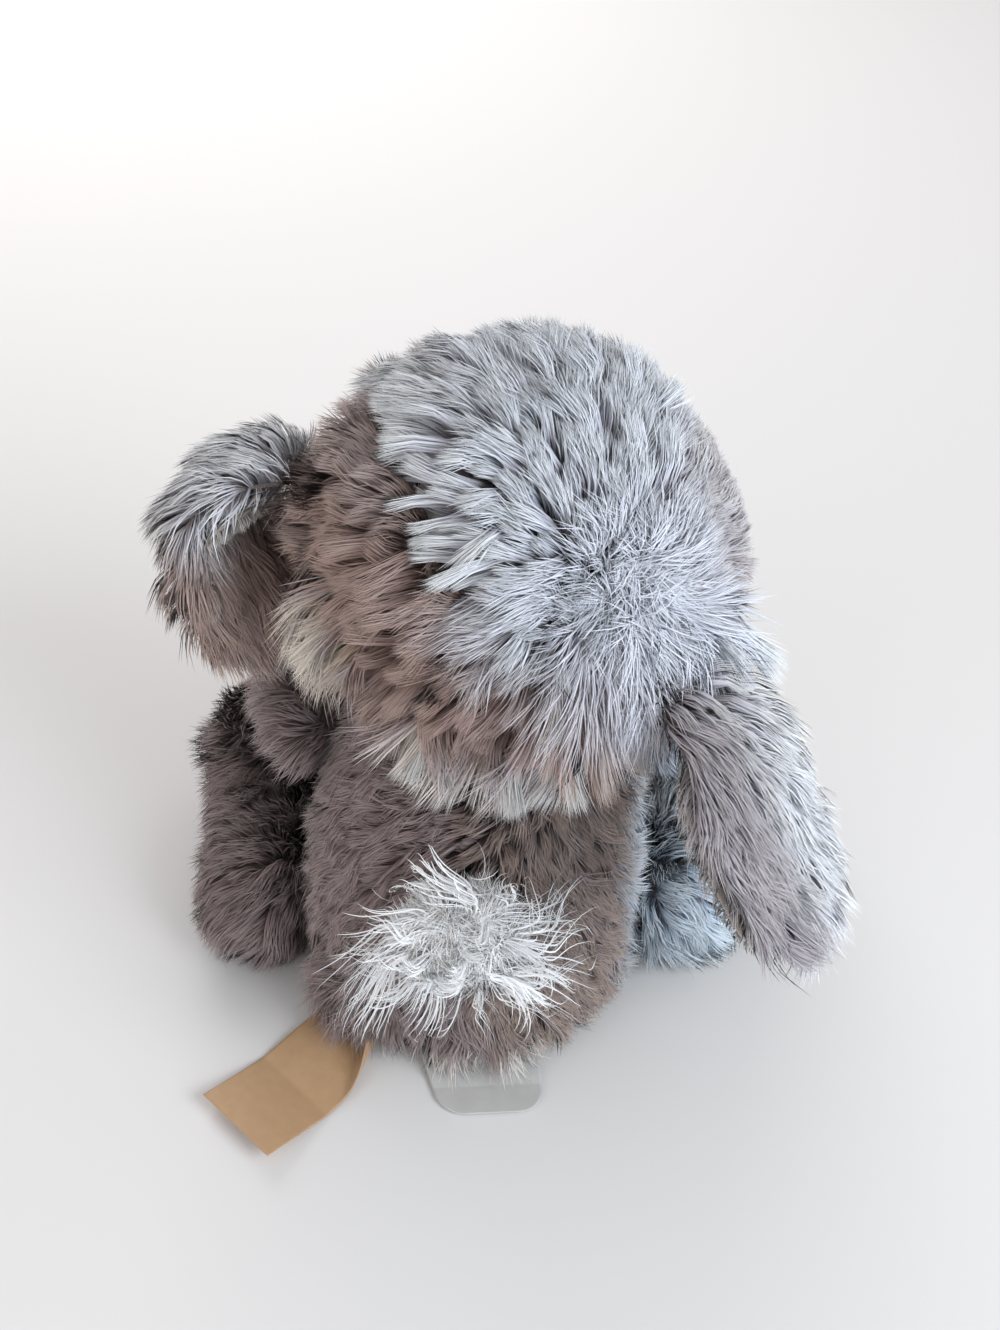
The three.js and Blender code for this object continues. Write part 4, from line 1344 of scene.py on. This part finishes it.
def make_leg(name, side, material):
    seam = joint_place(f"leg_{name}_swing")
    way = np.array((side, 0, 0))
    splay = math.radians(LEG_SPLAY[name])
    forward = np.array((side * math.sin(splay), -math.cos(splay), 0))

    def along(distance, height):
        return seam + way * LEG_OFFSET + forward * distance - np.array((0, 0, seam[2] - height))

    line = [along(-17, 18.5), along(0, 18.5), along(28, 16), along(LEG_LENGTH, 16)]
    stations = [(*place, radius, radius) for place, radius in zip(line, LEG_RADII)]
    limb = soft_form(stations, (0, 0, 1), 19, 13, sides=40, rings=40)
    foot_centre = along(LEG_LENGTH - 6, FOOT_RADII[2] - 0.5)
    foot_turn = (FOOT_LEAN, 0, side * LEG_SPLAY[name])
    cloth = joined(f"leg_{name}_cloth", [limb, ball_form(foot_centre, FOOT_RADII, foot_turn)], 1.6)
    draw_in(cloth, LIMB_PILE)
    keep_off_seam(cloth, seam, way, SEAM_GAP)
    keep_off_seam(cloth, np.zeros(3), (0, 0, 1), 1.5)
    lumpy(cloth, 0.6, 12, 30 + side)

    turn = Euler([math.radians(a) for a in foot_turn]).to_matrix()
    sole_way = np.array(turn @ Vector((0, -1, 0)))
    sole_centre = foot_centre + sole_way * SOLE_DEPTH
    places, normals = mesh_arrays(cloth)
    local = (places - sole_centre) @ np.array(turn)
    on_sole = (local[:, 0] / 12) ** 2 + (local[:, 2] / 23) ** 2
    sole = within(on_sole, 0.8, 1.05) * (local[:, 1] < 8)
    off_seam = ramp((places - seam) @ way, 1.2, 4)
    under = ramp(-normals[:, 2], 0.5, 0.9) * (places[:, 2] < 6)
    length = (0.6 + 0.4 * off_seam) * (1 - 0.7 * under)
    paint(cloth, fur_length=length, fur_amount=off_seam * (1 - sole) * (1 - 0.9 * under))
    crown = [(foot_centre + np.array((0, 0, 24)), (0, 0.5, 1), 12), (foot_centre, (0, -0.4, 1), 14)]
    outward = [(p + np.array((side * 12, 6, 4)), (side * 0.9, 0.5, -0.4), COMB_REACH) for p in line]
    comb_skin(cloth, outward + crown, fall=(side * 0.6, 0.5, -0.6), fall_share=0.3)
    furs = [(f"leg_{name}_fur", material, dict(LIMB_FUR, Seed=110 + side))]
    coat(cloth, f"leg_{name}", "fur", f"leg_{name}", furs)

    pad = new_piece(f"sole_{name}_cloth", *ball_form(sole_centre, SOLE_RADII, foot_turn))
    _, normals = mesh_arrays(pad)
    paint(pad, fur_length=1, fur_amount=ramp(normals @ sole_way, 0.0, 0.3))
    comb_skin(pad, [(sole_centre, (0, 0, -1), 60)])
    pile = dict(SHORT_PILE, Seed=120 + side, Locks_per_m2=8.0e5, Length=0.0028, Width=0.00034)
    furs = [(f"sole_{name}_fur", short_fur, dict(pile, Lean=0.5, Lock_Pull=0.4))]
    coat(pad, f"leg_{name}", "short_fur", f"foot_pad_{name}", furs)


make_leg("left", 1, body_fur)
# The right leg gets the painted window light, the left one the body's brown.
make_leg("right", -1, window_lit_leg_fur)

# %% [markdown]
# The tail is a hank of loose curly yarn tied in the middle and sewn on at one point. The ends spring out
# to all sides over the fur. A small padded button carries the roots, the comb runs outward from its
# middle, and the same fur tree grows long strands with a curl. A short dense fuzz between them fills the
# middle.

# %% The tail
TAIL_RISE = math.radians(6)
TAIL_WAY = np.array((0, math.cos(TAIL_RISE), math.sin(TAIL_RISE)))
tail_middle = joint_place("tail_lift") + TAIL_WAY * 7
tail_core = new_piece("tail_knot", *ball_form(tail_middle, (10, 6, 9), (6, 0, 0)))
tail_core.data.materials.append(cloth_material("tail backing", (0.80, 0.78, 0.75), (0.9, 0.88, 0.86), 900))
places, normals = mesh_arrays(tail_core)
outward = places - tail_middle
flat_outward = outward - np.outer(outward @ TAIL_WAY, TAIL_WAY)
off_middle = np.linalg.norm(flat_outward, axis=1)
amount = ramp(normals @ TAIL_WAY, -0.35, 0.1) * (1 + ramp(-off_middle, -6, -2))
paint(tail_core, fur_length=0.5 + 0.5 * ramp(off_middle, 2, 9), fur_amount=amount)
store_comb(tail_core, flat_outward / 8 + np.array((0, 0, -0.15)))
mark_regions(tail_core)
tail_yarn = fur_material(
    "tail yarn", (0.94, 0.92, 0.90), (0.98, 0.98, 1.0), (1.0, 1.0, 1.0),
    spread=0.08, shade=0.0, sheen=0.5, pile=0.5,
)
tail_fuzz = fur_material(
    "tail fuzz", (0.96, 0.93, 0.90), (1.0, 0.98, 0.96), (1.0, 1.0, 1.0),
    spread=0.06, shade=0.0, sheen=0.5, pile=0.6,
)
yarn = grow_fur(
    tail_core, "tail_yarn", long_strand, tail_yarn,
    Seed=131, Strands_per_m2=1.5e6, Locks_per_m2=0.85e5, Length=0.0295, Length_Spread=0.3, Width=0.0006,
    Lean=0.85, Least_Lean=0.1, Droop=0.15, Lock_Pull=0.95, Gather=0.2, Fray=0.16, Lock_Stray=0.45,
    Tangle=0.3, Tangle_Scale=140.0, Stray=0.08, Roundness=0.3, Bend=1.7, Curl=0.0027, Curl_Turns=1.3,
)
knot = grow_fur(
    tail_core, "tail_knot_fuzz", short_strand, tail_fuzz,
    Seed=137, Strands_per_m2=2.2e7, Locks_per_m2=4.0e5, Length=0.0112, Width=0.0004,
    Lean=0.85, Least_Lean=0.8, Droop=0.05, Lock_Pull=0.2, Lock_Stray=0.6,
    Tangle=0.3, Tangle_Scale=140.0, Stray=0.9, Roundness=0.3,
)
dress(knot, "tail", "tail_yarn", "tail")
dress(yarn, "tail", "tail_yarn", "tail")
dress(tail_core, "tail", "tail_yarn", "tail")

# %% [markdown]
# The face is hidden in the photograph, so it is a plain rabbit's: two bead eyes on stalks, a short-pile
# muzzle of two lobes, a flocked nose and a mouth stitched in thread. The beads keep their solids and get
# a polish.

# %% The muzzle
MUZZLE_PILE = 2
lobes = [onto_head(*ball_form((side * 8.5, -45, -15), (14, 12, 12))) for side in (-1, 1)]
muzzle = joined("muzzle_cloth", lobes, 1.0)
draw_in(muzzle, MUZZLE_PILE)
places, _ = mesh_arrays(muzzle)
local = face_places(places)
from_nose = off_point(local, (0, -56, -8))
from_mouth = np.abs(local[:, 0]) + 10 * (local[:, 2] > -9) + 10 * (local[:, 2] < -19)
amount = ramp(from_nose, 4, 6) * ramp(from_mouth, 0.8, 2.0)
paint(muzzle, fur_length=0.5 + 0.5 * ramp(from_nose, 5, 12), fur_amount=amount)
outward = [
    (from_head((side * 10, -50, -16)), HEAD_TURN @ Vector((side, 0.4, -0.4)), 14)
    for side in (-1, 1)
]
comb_skin(muzzle, outward)
muzzle_pile = dict(SHORT_PILE, Seed=140, Locks_per_m2=6.0e5, Length=0.0048, Lean=0.65, Stray=0.25)
coat(muzzle, "head", "short_fur", "muzzle", [("muzzle_fur", short_fur, muzzle_pile)])

# %% [markdown]
# The nose is a flocked pad, narrower at its lower edge, that sits on top of the muzzle.

# %% The nose
NOSE_PLACE = Vector((0, -56.2, -7.2))
nose_vertices, nose_faces = ball_form((0, 0, 0), (6.4, 3.6, 4.2))
tapers = [0.72 + 0.28 * float(ramp(v.z / MM, -4, 2)) for v in nose_vertices]
tapered = [Vector((v.x * taper, v.y, v.z)) + NOSE_PLACE * MM for v, taper in zip(nose_vertices, tapers)]
nose = new_piece("nose_pad", *onto_head(tapered, nose_faces))
nose_flock = cloth_material("nose flock", (0.14, 0.075, 0.065), (0.25, 0.14, 0.12), 2600, sheen=0.8, bump=0.6)
nose.data.materials.append(nose_flock)
dress(nose, "head", "nose_flock", "nose")
print("the nose has", len(nose_faces), "faces")

# %% [markdown]
# A thread runs down from the nose through the bare line between the lobes and turns out to both sides as
# the mouth. It is three plies twisted together, laid along a smooth line on the muzzle.

# %% The mouth
STITCH_RADIUS = 0.55
PLIES = 3
PLY_DEPTH = 0.12
PLY_TWIST = 0.35


def stitched_line(name, points, radius, material):
    """A thread laid along points, as a closed tube."""
    sides, vertices, faces = 8, [], []
    line = smooth_line(points, 12 * len(points))
    last = len(line) - 1
    for i, place in enumerate(line):
        ahead = Vector(line[min(i + 1, last)] - line[max(i - 1, 0)]).normalized()
        across = ahead.orthogonal().normalized()
        beside = ahead.cross(across)
        thin = radius * (0.5 if i in (0, last) else 1)
        for j in range(sides):
            angle = 2 * math.pi * j / sides + i * PLY_TWIST
            wide = thin * (1 + PLY_DEPTH * math.cos(PLIES * angle))
            offset = (across * math.cos(angle) + beside * math.sin(angle)) * wide
            vertices.append((Vector(place) + offset) * MM)
    for i in range(last):
        for j in range(sides):
            k = (j + 1) % sides
            a = i * sides
            faces.append((a + j, a + k, a + sides + k, a + sides + j))
    faces.append(tuple(reversed(range(sides))))
    faces.append(tuple(range(len(vertices) - sides, len(vertices))))
    thread = new_piece(name, vertices, faces)
    thread.data.materials.append(material)
    return thread


mouth_thread = cloth_material("mouth thread", (0.12, 0.07, 0.06), (0.18, 0.11, 0.10), 3000, sheen=0.2)
MOUTH_LINES = {
    "mouth_stitch": [(0, -57.5, -11), (0, -56.6, -14), (0, -55.2, -17), (0, -53.2, -20)],
    "mouth_stitch_left": [(0, -53.6, -20), (3, -55.0, -21.4), (6.5, -55.3, -21.6), (9.5, -54.6, -20.2)],
    "mouth_stitch_right": [(0, -53.6, -20), (-3, -55.0, -21.4), (-6.5, -55.3, -21.6), (-9.5, -54.6, -20.2)],
}
for stitch_name, points in MOUTH_LINES.items():
    stitch = stitched_line(stitch_name, [from_head(p) for p in points], STITCH_RADIUS, mouth_thread)
    dress(stitch, "head", "nose_flock")
print("the mouth has", len(MOUTH_LINES), "stitches")

# %% [markdown]
# Two ribbons are sewn into the seat seam at the back: a tan one that has rolled over along one edge, and
# a short white one with rounded corners. Both lie on the table and both are bare. They are single sheets,
# drawn in flat ribbon coordinates and then laid along a path, and they get their thickness last.


# %% A ribbon
ROLL_RADIUS = 3.2
RIBBON_THICKNESS = 0.35
WAVE_HEIGHT = 0.5
WAVE_ANGLE = 6.2


def satin_material(name, colour, darker):
    material = plain_material(name, colour, 0.42)
    shader = shader_of(material)
    shader.inputs["Sheen Weight"].default_value = 0.25
    shader.inputs["Anisotropic"].default_value = 0.4
    sheet = NodeSheet(material.node_tree)
    where = sheet.node("ShaderNodeUVMap", uv_map="ribbon")("UV")
    weft = {"Vector": where, "Scale": 40, "Distortion": 1.5, "Detail": 2}
    threads = sheet.node("ShaderNodeTexWave", weft, wave_type="BANDS", bands_direction="X")
    slow = sheet.node("ShaderNodeTexNoise", {"Vector": where, "Scale": 7, "Detail": 5})
    paint_tones(sheet, shader, slow("Fac"), darker, colour)
    raise_relief(sheet, shader, threads("Fac"), 0.25, 0.0001)
    return material


def ribbon(name, joint_name, width, length, heights, shape, roll, material):
    """A sheet from its seam outwards. `shape` gives both edges, `roll` the width that has rolled over."""
    seam = joint_place(joint_name)
    out = np.array((seam[0], seam[1], 0.0))
    out /= np.linalg.norm(out)
    beside = np.array((-out[1], out[0], 0.0))
    columns, rows = 36, 60
    vertices, uvs, faces = [], [], []
    for i in range(rows + 1):
        u = i / rows
        height = float(np.interp(u, *heights))
        left, right = shape(u)
        for j in range(columns + 1):
            v = left + (right - left) * j / columns
            rolled = max(v - (width / 2 - roll(u)), 0.0)
            turn = rolled / ROLL_RADIUS
            sideways = v - rolled + ROLL_RADIUS * math.sin(turn)
            lift = ROLL_RADIUS * (1 - math.cos(turn))
            lift += WAVE_HEIGHT * math.sin(WAVE_ANGLE * u) * (v / width) ** 2
            place = seam + out * (u * length) + beside * sideways
            vertices.append(Vector((place[0], place[1], height + lift)) * MM)
            uvs.append((0.5 + v / width, u * length / width))
    for i in range(rows):
        for j in range(columns):
            a = i * (columns + 1) + j
            faces.append((a, a + columns + 1, a + columns + 2, a + 1))
    sheet = new_piece(name, vertices, faces)
    layer = sheet.data.uv_layers.new(name="ribbon")
    for loop in sheet.data.loops:
        layer.data[loop.index].uv = uvs[loop.vertex_index]
    thickness = sheet.modifiers.new("thickness", "SOLIDIFY")
    thickness.thickness = RIBBON_THICKNESS * MM
    bake_modifiers(sheet)
    sheet.data.materials.append(material)
    return sheet


def rounded_edges(width, length, corner, slant):
    def edges(u):
        left = length - u * length
        short = max(corner - left, 0.0)
        cut = corner - math.sqrt(max(corner**2 - short**2, 0.0))
        return -width / 2 + slant * u + cut, width / 2 - cut

    return edges


print("a ribbon is", RIBBON_THICKNESS, "mm thick")

# %% [markdown]
# The tan ribbon's rolled edge is widest at the seam and runs out a little past the middle. The white one
# has two round corners, and one of its sides runs at a slant.

# %% The ribbons
tan_satin = satin_material("tan satin", (0.56, 0.35, 0.19), (0.45, 0.27, 0.14))
white_satin = satin_material("white satin", (0.64, 0.63, 0.61), (0.52, 0.51, 0.50))
care = ribbon(
    "care_ribbon", "care_label_flap", 27, 52, ([0, 0.3, 0.6, 1], [2.4, 2.2, 1.0, 5.4]),
    lambda u: (-13.5, 13.5), lambda u: 13 * max(0.0, 1 - u / 0.55), tan_satin,
)
dress(care, "care_label", "care_label_satin", "care_label")
white = ribbon(
    "white_ribbon", "white_label_flap", 34, 22, ([0, 0.3, 0.6, 1], [2.4, 2.2, 1.2, 1.6]),
    rounded_edges(34, 22, 7, 6), lambda u: 0.0, white_satin,
)
dress(white, "white_label", "white_label_satin", "white_label")
print("ribbons", care.name, "and", white.name)

# %% [markdown]
# What is inside keeps its solids and gets its own finish: the wadding, the bag of pellets that weights
# the seat, the ring of thread that closes the neck, and the washers that hold the eyes from behind.

# %% Finishes of the solids that stay
bead = plain_material("bead", (0.012, 0.008, 0.006), 0.06)
bead_sheet = NodeSheet(bead.node_tree)
bead_place = bead_sheet.node("ShaderNodeTexCoord")("Object")
bead_depth = bead_sheet.node("ShaderNodeTexNoise", {"Vector": bead_place, "Scale": 300})("Fac")
paint_tones(bead_sheet, shader_of(bead), bead_depth, (0.008, 0.005, 0.004), (0.035, 0.018, 0.012))
shader_of(bead).inputs["Coat Weight"].default_value = 1.0
seam_thread = cloth_material("seam thread", (0.16, 0.13, 0.12), (0.24, 0.21, 0.2), 2500)
pellet_cloth = cloth_material("pellet bag cotton", (0.70, 0.66, 0.58), (0.80, 0.77, 0.70), 1200)
moulded = cloth_material(
    "moulded washer", (0.70, 0.70, 0.69), (0.76, 0.76, 0.75), 2000, roughness=0.5, sheen=0.0, bump=0.1
)
fillings = [f"{bag}_stuffing" for bag in ("body", "head", "arm_left", "arm_right", "leg_left", "leg_right")]
for material, nodes in (
    (wadding, fillings),
    (bead, ["eye_left", "eye_right"]),
    (moulded, ["eye_washer_left", "eye_washer_right"]),
    (pellet_cloth, ["pellet_bag"]),
    (seam_thread, ["neck_seam"]),
):
    for node in nodes:
        for place in frame["nodes"][node].material_slots:
            place.material = material
    print(material.name, "on", ", ".join(nodes))

# %% [markdown]
# The two template strands have done their work. What is left is the toy.

# %% The end
for strand in (short_strand, long_strand):
    bpy.data.objects.remove(strand)
